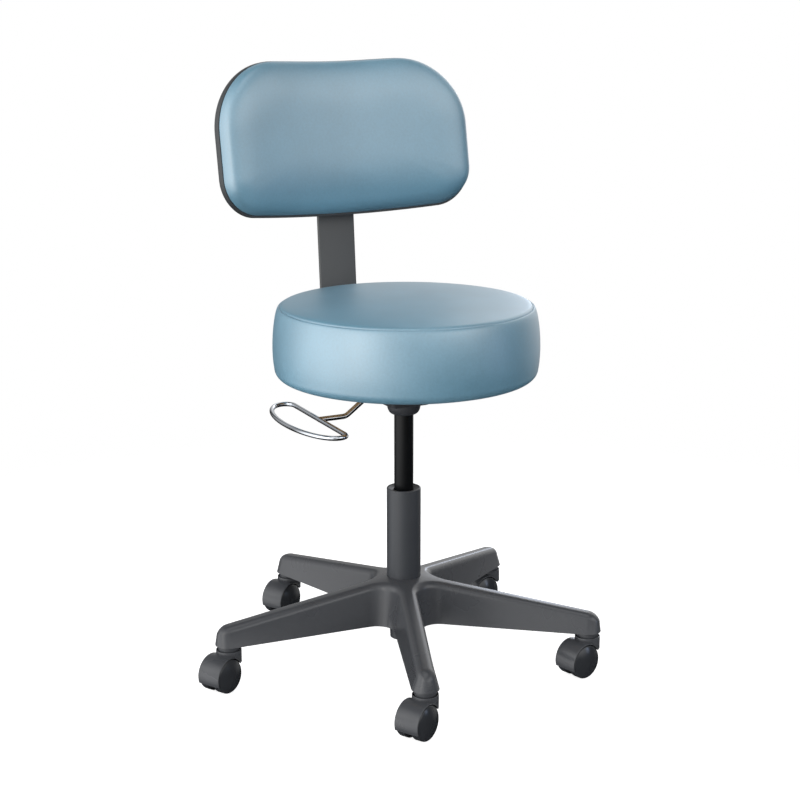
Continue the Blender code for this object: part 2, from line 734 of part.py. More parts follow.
def piston_rod_mesh():
    """The rod that stands on the column's floor, with the piston at its top."""
    piston_bottom = GLAND_TOP + PISTON_ABOVE_GLAND
    piston = TUBE_BORE_RADIUS - FIT_GAP
    profile = [
        (0, piston_bottom + PISTON_LENGTH),
        (piston, piston_bottom + PISTON_LENGTH),
        (piston, piston_bottom),
        (ROD_DIAMETER / 2, piston_bottom),
        (ROD_DIAMETER / 2, ROD_SHOULDER),
        (ROD_FOOT_DIAMETER / 2, ROD_SHOULDER),
        (ROD_FOOT_DIAMETER / 2, ROD_BOTTOM),
        (0, ROD_BOTTOM),
    ]
    return turned("piston_rod", profile, RING_STEPS)


def gas_lift(materials: dict, rod_pivot, seat_pivot) -> None:
    """Column, guide, rod with its bearing and clip, and the sliding tube."""
    steel = materials["steel"]
    black = materials["black_plastic"]
    foot_hole = ROD_FOOT_DIAMETER / 2 + FIT_GAP
    place("column_tube", column_mesh(), materials["charcoal"])
    place("guide_bush", guide_bush_mesh(), black)
    race = RACE_DIAMETER / 2
    lower = tube("bearing_race_lower", race, foot_hole, LOWER_RACE_BOTTOM, LOWER_RACE_BOTTOM + RACE_THICKNESS)
    place("bearing_race_lower", lower, steel)
    upper = tube("bearing_race_upper", race, foot_hole, UPPER_RACE_BOTTOM, UPPER_RACE_BOTTOM + RACE_THICKNESS)
    bump = tube("bump_stop", BUMP_DIAMETER / 2, foot_hole, BUMP_BOTTOM, BUMP_BOTTOM + BUMP_LENGTH)
    clip = tube("rod_clip", CLIP_DIAMETER / 2, foot_hole, CLIP_TOP - CLIP_THICKNESS, CLIP_TOP)
    for name, mesh, material in (
        ("piston_rod", piston_rod_mesh(), steel),
        ("bearing_race_upper", upper, steel),
        ("bump_stop", bump, materials["rubber"]),
        ("rod_clip", clip, steel),
    ):
        hang(place(name, mesh, material), rod_pivot)
    gland = tube("rod_gland", TUBE_BORE_RADIUS - FIT_GAP, ROD_DIAMETER / 2 + FIT_GAP, GLAND_BOTTOM, GLAND_TOP)
    hang(place("gas_tube", gas_tube_mesh(), materials["black_metal"]), seat_pivot)
    hang(place("rod_gland", gland, black), seat_pivot)


# Seat and control housing


def seat_bolt_places() -> list:
    """Where the bolts go through the control housing's plate."""
    x = PLATE_WIDTH / 2 - SEAT_BOLT_EDGE
    y = PLATE_LENGTH / 2 - SEAT_BOLT_EDGE
    return [(-x, -y), (x, -y), (-x, y), (x, y)]


def channel_bolt_places() -> list:
    """Where the bolts go through the flanges of the back bar's channel."""
    x = BAR_WIDTH / 2 + RUNNING_GAP + CHANNEL_WALL + CHANNEL_FLANGE / 2
    return [(-x, CHANNEL_MIDDLE), (x, CHANNEL_MIDDLE)]


def bolt_holes(places: list, diameter: float, low: float, high: float):
    """Cutters for bolts at the given places."""
    hole = cylinder("hole", diameter / 2 + FIT_GAP, low, high, HOLE_STEPS)
    return joined("holes", [moved(hole.copy(), Matrix.Translation((x, y, 0))) for x, y in places])


def hex_bolt_mesh(name: str, diameter: float, under_head: float, tip: float):
    """A hexagon bolt pointing up, its head below."""
    head = cylinder(name, diameter, under_head - BOLT_HEAD_HEIGHT, under_head, HEX_SIDES)
    shank = cylinder("shank", diameter / 2, under_head - BOLT_HEAD_HEIGHT / 2, tip, HOLE_STEPS)
    return combined(name, head, [("UNION", shank)])


def seat_cushion_mesh():
    """The padded drum: crowned top with a seam groove, bulging side, and a pocket for the board below."""
    seam = SEAT_RADIUS - SEAT_SEAM_INSET
    groove = seam - SEAT_SEAM_GROOVE
    rim = groove - SEAT_RIM_ROLL
    rim_top = SEAT_SEAM_HEIGHT + SEAT_RIM_RISE
    bottom = SEAT_RADIUS - SEAT_BOTTOM_INSET
    bulge = SEAT_SEAM_HEIGHT - SEAT_BULGE_DROP
    ceiling = SEAT_BOTTOM + BOARD_THICKNESS + FIT_GAP
    profile = []
    for share in (0, *CROWN_SHARES):
        profile.append((share * rim, rim_top + (SEAT_CROWN - SEAT_RIM_RISE) * (1 - share**3)))
    for angle in quarter_turn(ROLL_STEPS):
        drop = SEAT_RIM_ROLL * (1 - math.cos(angle))
        profile.append((rim + SEAT_RIM_ROLL * math.sin(angle), rim_top - drop))
    profile.append((groove, SEAT_SEAM_HEIGHT - SEAT_SEAM_GROOVE))
    for angle in quarter_turn(ROLL_STEPS + 1):
        x = seam + SEAT_SEAM_INSET * math.sin(angle)
        z = bulge + SEAT_BULGE_DROP * math.cos(angle) ** SEAT_SIDE_FULLNESS
        profile.append((x, z))
    shoulder = SEAT_BOTTOM + SEAT_BOTTOM_RADIUS
    profile.append((SEAT_RADIUS - SEAT_BOTTOM_INSET / 4, (bulge + shoulder) / 2))
    for angle in quarter_turn(ROLL_STEPS):
        x = bottom - SEAT_BOTTOM_RADIUS * (1 - math.cos(angle))
        profile.append((x, shoulder - SEAT_BOTTOM_RADIUS * math.sin(angle)))
    profile += [(BOARD_POCKET_RADIUS, SEAT_BOTTOM), (BOARD_POCKET_RADIUS, ceiling), (0, ceiling)]
    mesh = turned("seat_cushion", profile, SEAT_STEPS)
    return moved(mesh, Matrix.Translation((0, -SEAT_FORWARD, 0)))


def seat_board_mesh():
    """The round board that the cushion is built on, drilled for the bolts."""
    board = cylinder("seat_board", BOARD_RADIUS, SEAT_BOTTOM, SEAT_BOTTOM + BOARD_THICKNESS, SEAT_STEPS)
    moved(board, Matrix.Translation((0, -SEAT_FORWARD, 0)))
    low = SEAT_BOTTOM - BOARD_THICKNESS
    high = SEAT_BOTTOM + BOLT_GRIP + FIT_GAP
    return combined(
        "seat_board",
        board,
        [
            ("DIFFERENCE", bolt_holes(seat_bolt_places(), SEAT_BOLT_DIAMETER, low, high)),
            ("DIFFERENCE", bolt_holes(channel_bolt_places(), CHANNEL_BOLT_DIAMETER, low, high)),
        ],
    )


def control_housing_mesh():
    """The pressed housing: plate, box open to the seat, and the cup that takes the tube's taper."""
    plate_outline = rounded_rectangle(PLATE_WIDTH, PLATE_LENGTH, HOUSING_CORNER)
    plate = prism("control_housing", plate_outline, PLATE_BOTTOM, PLATE_TOP)
    box_outline = rounded_rectangle(HOUSING_WIDTH, HOUSING_LENGTH, HOUSING_CORNER)
    box = prism("box", box_outline, BOX_BOTTOM, PLATE_BOTTOM + PLATE_THICKNESS / 2)
    inner_outline = rounded_rectangle(
        HOUSING_WIDTH - 2 * HOUSING_WALL, HOUSING_LENGTH - 2 * HOUSING_WALL, HOUSING_CORNER - HOUSING_WALL
    )
    inner = prism("inner", inner_outline, BOX_BOTTOM + HOUSING_WALL, PLATE_TOP + PLATE_THICKNESS)
    lip = TUBE_RADIUS + FIT_GAP + CUP_LIP
    rise = CUP_TOP_DIAMETER / 2 - lip
    profile = [(0, BOX_BOTTOM + HOUSING_WALL / 2), (CUP_TOP_DIAMETER / 2, BOX_BOTTOM + HOUSING_WALL / 2)]
    for angle in quarter_turn(ROLL_STEPS + 1):
        x = lip + rise * math.cos(angle)
        profile.append((x, BOX_BOTTOM - CUP_DEPTH * math.sin(angle)))
    profile.append((0, CUP_BOTTOM))
    cup = turned("cup", profile, ROUND_STEPS)
    past = HOUSING_WALL
    slope = (TUBE_RADIUS - TUBE_TOP_RADIUS) / (TUBE_TOP - COLUMN_LIP - CUP_BOTTOM)
    bore_top = BOX_BOTTOM + past + HOUSING_WALL
    bore = turned(
        "bore",
        [
            (0, bore_top),
            (TUBE_RADIUS + FIT_GAP - slope * (bore_top - CUP_BOTTOM), bore_top),
            (TUBE_RADIUS + FIT_GAP + slope * past, CUP_BOTTOM - past),
            (0, CUP_BOTTOM - past),
        ],
        ROUND_STEPS,
    )
    wire_gap = LEVER_WIRE / 2 + RUNNING_GAP
    swing = (HOUSING_WIDTH / 2 - LEVER_PIVOT_OUT) * math.tan(math.radians(LEVER_LIFT_DEG)) + RUNNING_GAP
    slot = block(
        "slot",
        (-HOUSING_WIDTH / 2 - past, -wire_gap, LEVER_LEVEL - wire_gap),
        (-HOUSING_WIDTH / 2 + 2 * HOUSING_WALL, wire_gap, LEVER_LEVEL + wire_gap + swing),
    )
    pin_radius = LEVER_PIN_DIAMETER / 2 + FIT_GAP
    pin_hole = cylinder("pin_hole", pin_radius, -HOUSING_LENGTH, HOUSING_LENGTH, PIN_STEPS)
    moved(pin_hole, lever_axis())
    holes = bolt_holes(seat_bolt_places(), SEAT_BOLT_DIAMETER, PLATE_BOTTOM - past, PLATE_TOP + past)
    return combined(
        "control_housing",
        plate,
        [
            ("UNION", box),
            ("UNION", cup),
            ("DIFFERENCE", inner),
            ("DIFFERENCE", bore),
            ("DIFFERENCE", slot),
            ("DIFFERENCE", pin_hole),
            ("DIFFERENCE", holes),
        ],
    )


def lever_axis() -> Matrix:
    """Placement on the lever's pivot, with Z along its pin."""
    spot = Matrix.Translation((-LEVER_PIVOT_OUT, 0, LEVER_LEVEL))
    return spot @ Matrix.Rotation(math.pi / 2, 4, "X")


def lever_pin_mesh():
    """The lever's pivot pin, along Y, with a head outside each wall of the housing."""
    reach = HOUSING_LENGTH / 2 + FIT_GAP
    head = LEVER_PIN_HEAD / 2
    shank = LEVER_PIN_DIAMETER / 2
    end = reach + LEVER_PIN_HEAD_THICKNESS
    half = [(0, end), (head, end), (head, reach), (shank, reach)]
    profile = half + [(r, -z) for r, z in reversed(half)]
    return moved(turned("lever_pin", profile, PIN_STEPS), lever_axis())


def seat(materials: dict, seat_pivot) -> None:
    """Cushion, board, control housing, bolts and the lever's pin."""
    pieces = [
        ("seat_cushion", seat_cushion_mesh(), materials["vinyl"]),
        ("seat_board", seat_board_mesh(), materials["plywood"]),
        ("control_housing", control_housing_mesh(), materials["black_metal"]),
        ("lever_pin", lever_pin_mesh(), materials["steel"]),
    ]
    tip = SEAT_BOTTOM + BOLT_GRIP
    bolt = hex_bolt_mesh("seat_bolt", SEAT_BOLT_DIAMETER, PLATE_BOTTOM - FIT_GAP, tip)
    for k, (x, y) in enumerate(seat_bolt_places()):
        mesh = moved(bolt.copy(), Matrix.Translation((x, y, 0)))
        pieces.append((f"seat_bolt_{k + 1}", mesh, materials["steel"]))
    for name, mesh, material in pieces:
        hang(place(name, mesh, material), seat_pivot)


# Release lever


def bend_points(before: Vector, corner: Vector, after: Vector, radius: float, steps=BEND_STEPS) -> list:
    """Points of the arc that rounds a corner of a wire."""
    back = (before - corner).normalized()
    on = (after - corner).normalized()
    half = back.angle(on) / 2
    setback = radius / math.tan(half)
    centre = corner + (back + on).normalized() * (radius / math.sin(half))
    start = corner + back * setback - centre
    end = corner + on * setback - centre
    sweep = math.pi - 2 * half
    points = []
    for i in range(steps + 1):
        t = i / steps
        spot = (start * math.sin((1 - t) * sweep) + end * math.sin(t * sweep)) / math.sin(sweep)
        points.append(centre + spot)
    return points


def lever_loop_points() -> list:
    """The closed D of the grip: a straight bar, two corners and half an ellipse, toed out at the front."""
    outer = LOOP_REACH - LOOP_CORNER
    straight = LOOP_HALF_LENGTH - LOOP_CORNER
    points = [Vector((0, -straight)), Vector((0, straight))]
    points += corner_arc(straight, 1)
    for i in range(1, LOOP_STEPS):
        angle = math.pi * i / LOOP_STEPS
        points.append(Vector((-LOOP_CORNER - outer * math.sin(angle), LOOP_HALF_LENGTH * math.cos(angle))))
    points += corner_arc(straight, -1)
    turn = Matrix.Rotation(-math.radians(LOOP_TOE_DEG), 2)
    toed = [turn @ p for p in points]
    return [Vector((p.x - LOOP_OUT, p.y, LOOP_LEVEL)) for p in toed]


def corner_arc(straight: float, side: int) -> list:
    """The arc between the grip's bar and its outer curve, towards +Y or -Y."""
    arc = []
    for angle in quarter_turn(ROLL_STEPS + 1)[1:]:
        x = -LOOP_CORNER * (1 - math.cos(angle))
        arc.append(Vector((x, side * (straight + LOOP_CORNER * math.sin(angle)))))
    return arc if side > 0 else arc[::-1]


def release_lever_mesh():
    """The wire lever: grip loop, cranked stem with its tongue over the valve pin, and the pivot block."""
    tongue = Vector((LEVER_TONGUE, 0, LEVER_LEVEL))
    knee = Vector((-LEVER_KNEE_OUT, 0, LEVER_LEVEL))
    elbow = Vector((-LEVER_ELBOW_OUT, 0, LOOP_LEVEL))
    end = Vector((-LOOP_OUT - LOOP_WELD, 0, LOOP_LEVEL))
    path = [tongue, Vector((-LEVER_PIVOT_OUT, 0, LEVER_LEVEL))]
    path += bend_points(tongue, knee, elbow, LEVER_BEND)
    path += bend_points(knee, elbow, end, LEVER_BEND)
    path.append(end)
    stem = wire("stem", path, LEVER_WIRE / 2, False)
    half = LEVER_BLOCK / 2
    hub = block(
        "hub",
        (-LEVER_PIVOT_OUT - half, -half, LEVER_LEVEL - half),
        (-LEVER_PIVOT_OUT + half, half, LEVER_LEVEL + half),
    )
    bore = cylinder("bore", LEVER_PIN_DIAMETER / 2 + FIT_GAP, -LEVER_BLOCK, LEVER_BLOCK, PIN_STEPS)
    moved(bore, lever_axis())
    loop = wire("release_lever", lever_loop_points(), LOOP_WIRE / 2, True)
    return combined("release_lever", loop, [("UNION", stem), ("UNION", hub), ("DIFFERENCE", bore)])


def release(materials: dict, seat_pivot) -> None:
    """The lever on its pivot and the valve pin that it pushes."""
    lever_pivot = pivot("lever_axis", (-LEVER_PIVOT_OUT, 0, LEVER_LEVEL))
    hang(lever_pivot, seat_pivot)
    hang(place("release_lever", release_lever_mesh(), materials["chrome"]), lever_pivot)
    pin = cylinder("release_pin", VALVE_PIN_DIAMETER / 2, VALVE_PIN_BOTTOM, VALVE_PIN_TOP, RING_STEPS)
    hang(place("release_pin", pin, materials["steel"]), seat_pivot)


# Back bar


def bar_point(height: float) -> Vector:
    """Middle of the upright's thickness at a height."""
    return Vector((0, BAR_BEHIND + (height - BAR_BEHIND_HEIGHT) * math.tan(BAR_LEAN), height))


def back_bar_mesh():
    """The flat steel bar, bent once: an arm under the seat and a leaning upright."""
    front = Vector((0, BAR_FRONT_END, BAR_LEVEL))
    corner = bar_point(BAR_LEVEL)
    top = bar_point(BAR_TOP)
    half = BAR_THICKNESS / 2
    arm_normal = Vector((0, 0, 1))
    upright_normal = -BAR_REAR
    upper = [front + arm_normal * half]
    lower = [front - arm_normal * half]
    for path, radius in ((upper, BAR_BEND), (lower, BAR_BEND + BAR_THICKNESS)):
        side = 1 if path is upper else -1
        mitre = (arm_normal + upright_normal).normalized()
        reach = half / mitre.dot(arm_normal)
        turn = corner + mitre * (side * reach)
        start = front + arm_normal * (side * half)
        end = top + upright_normal * (side * half)
        path += bend_points(start, turn, end, radius, BAR_BEND_STEPS)
        path.append(end)
    outline = upper + lower[::-1]
    bm = bmesh.new()
    face = bm.faces.new([bm.verts.new((-BAR_WIDTH / 2, p.y, p.z)) for p in outline])
    lifted = bmesh.ops.extrude_face_region(bm, geom=[face])["geom"]
    shifted = [item for item in lifted if isinstance(item, bmesh.types.BMVert)]
    bmesh.ops.translate(bm, verts=shifted, vec=(BAR_WIDTH, 0, 0))
    return finish_mesh(bm, "back_bar")


def bar_channel_mesh():
    """The hat-shaped channel under the board in which the bar's arm slides."""
    inner = BAR_WIDTH / 2 + RUNNING_GAP
    outer = inner + CHANNEL_WALL
    edge = outer + CHANNEL_FLANGE
    flange = PLATE_TOP - CHANNEL_WALL
    floor = CHANNEL_FLOOR_TOP - CHANNEL_WALL
    half = [(edge, PLATE_TOP), (edge, flange), (outer, flange), (outer, floor)]
    inside = [(-inner, CHANNEL_FLOOR_TOP), (-inner, PLATE_TOP)]
    section = [(inner, PLATE_TOP)] + half + [(-x, z) for x, z in reversed(half)]
    section += inside[::-1] + [(inner, CHANNEL_FLOOR_TOP)]
    body = prism("bar_channel", [(x, z) for x, z in section], 0, CHANNEL_LENGTH)
    turn = Matrix(((1, 0, 0, 0), (0, 0, 1, CHANNEL_START), (0, 1, 0, 0), (0, 0, 0, 1)))
    moved(body, turn)
    body.flip_normals()
    stud_radius = KNOB_STUD_DIAMETER / 2 + FIT_GAP
    stud_hole = cylinder("stud_hole", stud_radius, floor - CHANNEL_WALL, BAR_LEVEL, PIN_STEPS)
    moved(stud_hole, Matrix.Translation((0, CHANNEL_MIDDLE, 0)))
    holes = bolt_holes(
        channel_bolt_places(), CHANNEL_BOLT_DIAMETER, flange - CHANNEL_WALL, PLATE_TOP + CHANNEL_WALL
    )
    return combined("bar_channel", body, [("DIFFERENCE", stud_hole), ("DIFFERENCE", holes)])


def knob_mesh(name: str, neck_top: float, stud_tip: float):
    """A lobed clamping knob about Z with its neck and stud above, measured from the top of the neck."""
    outline = []
    steps = LOBE_STEPS * KNOB_LOBES
    for i in range(steps):
        angle = 2 * math.pi * i / steps
        r = KNOB_DIAMETER / 2 - KNOB_LOBE_DEPTH * (1 - math.cos(KNOB_LOBES * angle)) / 2
        outline.append((r * math.cos(angle), r * math.sin(angle)))
    top = neck_top - KNOB_NECK_LENGTH
    low = top - KNOB_HEIGHT
    chamfer = KNOB_LOBE_DEPTH
    shrink = 1 - chamfer / (KNOB_DIAMETER / 2)
    rings = []
    for z, share in ((top, shrink), (top - chamfer, 1), (low + chamfer, 1), (low, shrink)):
        rings.append([Vector((x * share, y * share, z)) for x, y in outline])
    head = loft(name, rings, Vector((0, 0, top)), Vector((0, 0, low)))
    stem = turned(
        "stem",
        [
            (0, stud_tip),
            (KNOB_STUD_DIAMETER / 2, stud_tip),
            (KNOB_STUD_DIAMETER / 2, neck_top),
            (KNOB_NECK_DIAMETER / 2, neck_top),
            (KNOB_NECK_DIAMETER / 2, top - chamfer),
            (0, top - chamfer),
        ],
        PIN_STEPS,
    )
    return combined(name, head, [("UNION", stem)])


def bar_assembly(materials: dict, seat_pivot):
    """The bar, its channel with bolts, and the knob that clamps it. Returns the bar's pivot."""
    steel = materials["steel"]
    tip = SEAT_BOTTOM + BOLT_GRIP
    hang(place("bar_channel", bar_channel_mesh(), materials["black_metal"]), seat_pivot)
    bolt = hex_bolt_mesh("channel_bolt", CHANNEL_BOLT_DIAMETER, PLATE_TOP - CHANNEL_WALL - FIT_GAP, tip)
    for k, (x, y) in enumerate(channel_bolt_places()):
        mesh = moved(bolt.copy(), Matrix.Translation((x, y, 0)))
        hang(place(f"channel_bolt_{k + 1}", mesh, steel), seat_pivot)
    neck_top = CHANNEL_FLOOR_TOP - CHANNEL_WALL - FIT_GAP
    stud_tip = BAR_LEVEL - BAR_THICKNESS / 2 - FIT_GAP
    knob_pivot = pivot("depth_knob_axis", (0, CHANNEL_MIDDLE, neck_top))
    hang(knob_pivot, seat_pivot)
    knob = moved(knob_mesh("depth_knob", neck_top, stud_tip), Matrix.Translation((0, CHANNEL_MIDDLE, 0)))
    hang(place("depth_knob", knob, materials["black_plastic"]), knob_pivot)
    bar_pivot = pivot("back_bar_slide", (0, BAR_FRONT_END, BAR_LEVEL))
    hang(bar_pivot, seat_pivot)
    hang(place("back_bar", back_bar_mesh(), materials["charcoal_metal"]), bar_pivot)
    return bar_pivot


# Backrest


def back_point(across: float, up: float, depth: float) -> Vector:
    """A point of the curved back: arc length across, height up its plane, and depth from its rear face."""
    angle = across / BACK_CURVE_RADIUS
    radius = BACK_CURVE_RADIUS - depth
    side = Vector((radius * math.sin(angle), 0, 0))
    forward = BACK_FRONT * (BACK_CURVE_RADIUS - radius * math.cos(angle))
    return BACK_CENTRE + side + BACK_UP * up + forward


def back_outline(inset: float) -> list:
    """The back's outline moved in by inset: large top corners, smaller bottom ones, a bowed lower edge."""
    half_width = BACK_WIDTH / 2
    half_height = BACK_HEIGHT / 2
    quarter = math.pi / 2
    corners = (
        (1, 1, BACK_TOP_CORNER, 0),
        (-1, 1, BACK_TOP_CORNER, 1),
        (-1, -1, BACK_BOTTOM_CORNER, 2),
        (1, -1, BACK_BOTTOM_CORNER, 3),
    )
    points = []
    for sx, sy, radius, k in corners:
        for i in range(BACK_CORNER_STEPS + 1):
            angle = quarter * (k + i / BACK_CORNER_STEPS)
            x = sx * (half_width - radius) + (radius - inset) * math.cos(angle)
            y = sy * (half_height - radius) + (radius - inset) * math.sin(angle)
            points.append((x, y))
        if k in (1, 3):
            continue
        turn = -1 if k == 2 else 1
        end = (half_width - (BACK_BOTTOM_CORNER if k == 2 else BACK_TOP_CORNER)) * turn
        level = sy * (half_height - inset)
        points += [(end * (1 - 2 * i / BACK_EDGE_STEPS), level) for i in range(1, BACK_EDGE_STEPS)]
    bowed = []
    for x, y in points:
        bow = BACK_BOTTOM_BOW * (1 - (x / half_width) ** 2) * max(0.0, -y / half_height)
        bowed.append((x, y - bow))
    return bowed


def back_ring(inset: float, depth: float, share: float = 1.0) -> list:
    """The outline on the curved back, drawn in towards the middle by share."""
    return [back_point(x * share, y * share, depth) for x, y in back_outline(inset)]


def back_face(depth: float) -> list:
    """Rings that cover the back's face at a depth, the same in every piece so that faces lie parallel."""
    return [back_ring(PANEL_MARGIN, depth, share) for share in BACK_FACE_SHARES]


def back_shell_mesh():
    """The moulded rear shell: a curved tray with a rounded outer edge."""
    e = SHELL_EDGE
    rings = back_face(0)
    rings += [back_ring(0.3 * e, 0.3 * e), back_ring(0, e), back_ring(0, SHELL_RIM)]
    rings += [back_ring(SHELL_WALL, SHELL_RIM), back_ring(SHELL_WALL, SHELL_WALL)]
    rings += reversed(back_face(SHELL_WALL))
    tray = loft("back_shell", rings, back_point(0, 0, 0), back_point(0, 0, SHELL_WALL))
    return combined("back_shell", tray, [("DIFFERENCE", back_screw_holes(-SHELL_WALL, PANEL_FRONT))])


def back_panel_mesh():
    """The curved board inside the shell that carries the padding."""
    rings = back_face(PANEL_REAR) + back_face(PANEL_FRONT)[::-1]
    board = loft("back_panel", rings, back_point(0, 0, PANEL_REAR), back_point(0, 0, PANEL_FRONT))
    deep = PANEL_REAR + PANEL_THICKNESS / 2 + FIT_GAP
    return combined("back_panel", board, [("DIFFERENCE", back_screw_holes(-SHELL_WALL, deep))])


def back_cushion_mesh():
    """The back pad: flat where it meets the panel, drawn in at the rim, rolled edge and crowned front."""
    front = CUSHION_REAR + CUSHION_THICKNESS
    rings = back_face(CUSHION_REAR) + [back_ring(CUSHION_TUCK, CUSHION_REAR)]
    for angle in quarter_turn(ROLL_STEPS + 1):
        angle *= CUSHION_ROLL
        inset = CUSHION_EDGE * (1 - math.cos(angle))
        depth = CUSHION_REAR + CUSHION_TUCK + (CUSHION_EDGE - CUSHION_TUCK) * math.sin(angle)
        rings.append(back_ring(inset, depth))
    rise = CUSHION_THICKNESS - CUSHION_EDGE
    for share in PAD_FRONT_SHARES:
        rings.append(back_ring(CUSHION_EDGE, front - rise * share**2, share))
    return loft("back_cushion", rings, back_point(0, 0, CUSHION_REAR), back_point(0, 0, front))


def back_screw_places() -> list:
    """Where the screws of the sleeve go through shell and panel: across and up the back."""
    x = BACK_SCREW_SPREAD / 2
    y = BACK_SCREW_PITCH / 2
    return [(sx * x, sy * y - BACK_SCREW_DROP) for sy in (1, -1) for sx in (-1, 1)]


def back_axis(across: float, up: float) -> Matrix:
    """Placement whose Z runs forward through the back at a point of its rear face."""
    angle = across / BACK_CURVE_RADIUS
    z_axis = BACK_FRONT * math.cos(angle) - Vector((math.sin(angle), 0, 0))
    y_axis = BACK_UP
    x_axis = y_axis.cross(z_axis)
    turn = Matrix((x_axis, y_axis, z_axis)).transposed().to_4x4()
    return Matrix.Translation(back_point(across, up, 0)) @ turn


def back_screw_holes(low: float, high: float):
    """Cutters for the four screws between two depths."""
    hole = cylinder("hole", BACK_SCREW_DIAMETER / 2 + FIT_GAP, low, high, HOLE_STEPS)
    return joined("holes", [moved(hole.copy(), back_axis(x, y)) for x, y in back_screw_places()])


def back_sleeve_mesh():
    """The sleeve on the shell's rear: it fits the shell in front and holds the bar in a slot open below."""
    rear = BAR_THICKNESS / 2 + RUNNING_GAP + SLEEVE_COVER
    half_width = SLEEVE_WIDTH / 2
    columns = [SLEEVE_WIDTH * i / SLEEVE_COLUMNS - half_width for i in range(SLEEVE_COLUMNS + 1)]
    length = SLEEVE_BELOW + SLEEVE_ABOVE
    rows = [length * i / SLEEVE_ROWS - SLEEVE_BELOW for i in range(SLEEVE_ROWS + 1)]
    bm = bmesh.new()
    front = []
    back = []
    for up in rows:
        front_row = []
        back_row = []
        for across in columns:
            spot = back_point(across, up, -FIT_GAP)
            front_row.append(bm.verts.new(spot))
            behind = (bar_point(BAR_TOP) - spot).dot(BAR_REAR) + rear
            outside = abs(across) / half_width - SLEEVE_FLAT
            behind -= SLEEVE_FALL * max(0.0, outside) / (1 - SLEEVE_FLAT)
            back_row.append(bm.verts.new(spot + BAR_REAR * behind))
        front.append(front_row)
        back.append(back_row)
    for i in range(len(rows) - 1):
        for j in range(len(columns) - 1):
            bm.faces.new((front[i][j], front[i][j + 1], front[i + 1][j + 1], front[i + 1][j]))
            bm.faces.new((back[i][j], back[i + 1][j], back[i + 1][j + 1], back[i][j + 1]))
    for i in (0, len(rows) - 1):
        for j in range(len(columns) - 1):
            bm.faces.new((front[i][j], back[i][j], back[i][j + 1], front[i][j + 1]))
    for j in (0, len(columns) - 1):
        for i in range(len(rows) - 1):
            bm.faces.new((front[i][j], front[i + 1][j], back[i + 1][j], back[i][j]))
    body = finish_mesh(bm, "back_sleeve")
    return combined(
        "back_sleeve",
        body,
        [
            ("DIFFERENCE", bar_slot()),
            ("DIFFERENCE", back_screw_counterbores()),
            ("DIFFERENCE", height_stud_hole()),
        ],
    )


def bar_frame(height: float) -> Matrix:
    """Placement on the upright's middle: X across, Y to the rear, Z up the bar."""
    turn = Matrix((Vector((1, 0, 0)), BAR_REAR, BAR_UP)).transposed().to_4x4()
    return Matrix.Translation(bar_point(height)) @ turn


def bar_slot():
    """The cutter for the bar's slot, open at the sleeve's foot."""
    x = BAR_WIDTH / 2 + RUNNING_GAP
    y = BAR_THICKNESS / 2 + RUNNING_GAP
    slot = block("slot", (-x, -y, -2 * SLEEVE_BELOW), (x, y, SLEEVE_SLOT_ABOVE))
    return moved(slot, bar_frame(BACK_CENTRE_HEIGHT))


def back_screw_counterbores():
    """Cutters for the screw shanks and, behind their seats, the heads."""
    shank_radius = BACK_SCREW_DIAMETER / 2 + FIT_GAP
    shank = cylinder("shank", shank_radius, -BACK_SCREW_SEAT - SLEEVE_COVER, SLEEVE_COVER, HOLE_STEPS)
    head = cylinder("head", BACK_SCREW_HEAD / 2 + FIT_GAP, -SLEEVE_ABOVE, -BACK_SCREW_SEAT, HOLE_STEPS)
    tool = combined("counterbore", shank, [("UNION", head)])
    return joined("counterbores", [moved(tool.copy(), back_axis(x, y)) for x, y in back_screw_places()])


def height_stud_hole():
    """The cutter for the height knob's stud through the sleeve's rear wall."""
    hole = cylinder("hole", KNOB_STUD_DIAMETER / 2 + FIT_GAP, 0, SLEEVE_ABOVE, PIN_STEPS)
    return moved(hole, bar_frame(HEIGHT_STUD_LEVEL) @ Matrix.Rotation(-math.pi / 2, 4, "X"))


def back_screw_mesh():
    """A pan-head screw along +Z, its head seated behind the shell."""
    seat_at = -BACK_SCREW_SEAT - FIT_GAP
    end = PANEL_REAR + PANEL_THICKNESS / 2
    head = BACK_SCREW_HEAD / 2
    shank = BACK_SCREW_DIAMETER / 2
    foot = seat_at - BACK_SCREW_HEAD_DEPTH
    profile = [(0, end), (shank, end), (shank, seat_at), (head, seat_at)]
    profile += [(head, foot + shank / 2), (head - shank / 2, foot), (0, foot)]
    return turned("back_screw", profile, HOLE_STEPS)


def backrest(materials: dict, bar_pivot) -> None:
    """Shell, panel, pad, sleeve, screws and the height knob."""
    back_pivot = pivot("backrest_slide", bar_point(BACK_CENTRE_HEIGHT))
    hang(back_pivot, bar_pivot)
    black = materials["black_plastic"]
    pieces = [
        ("back_shell", back_shell_mesh(), black),
        ("back_panel", back_panel_mesh(), materials["plywood"]),
        ("back_cushion", back_cushion_mesh(), materials["vinyl"]),
        ("back_sleeve", back_sleeve_mesh(), black),
    ]
    screw = back_screw_mesh()
    for k, (x, y) in enumerate(back_screw_places()):
        pieces.append((f"back_screw_{k + 1}", moved(screw.copy(), back_axis(x, y)), materials["steel"]))
    for name, mesh, material in pieces:
        hang(place(name, mesh, material), back_pivot)
    neck = BAR_THICKNESS / 2 + RUNNING_GAP + SLEEVE_COVER + FIT_GAP
    tip = BAR_THICKNESS / 2 + FIT_GAP
    turn = Matrix.Rotation(math.pi / 2, 4, "X")
    knob = moved(knob_mesh("height_knob", -neck, -tip), bar_frame(HEIGHT_STUD_LEVEL) @ turn)
    knob_pivot = pivot("height_knob_axis", bar_point(HEIGHT_STUD_LEVEL))
    hang(knob_pivot, back_pivot)
    hang(place("height_knob", knob, black), knob_pivot)


# Casters


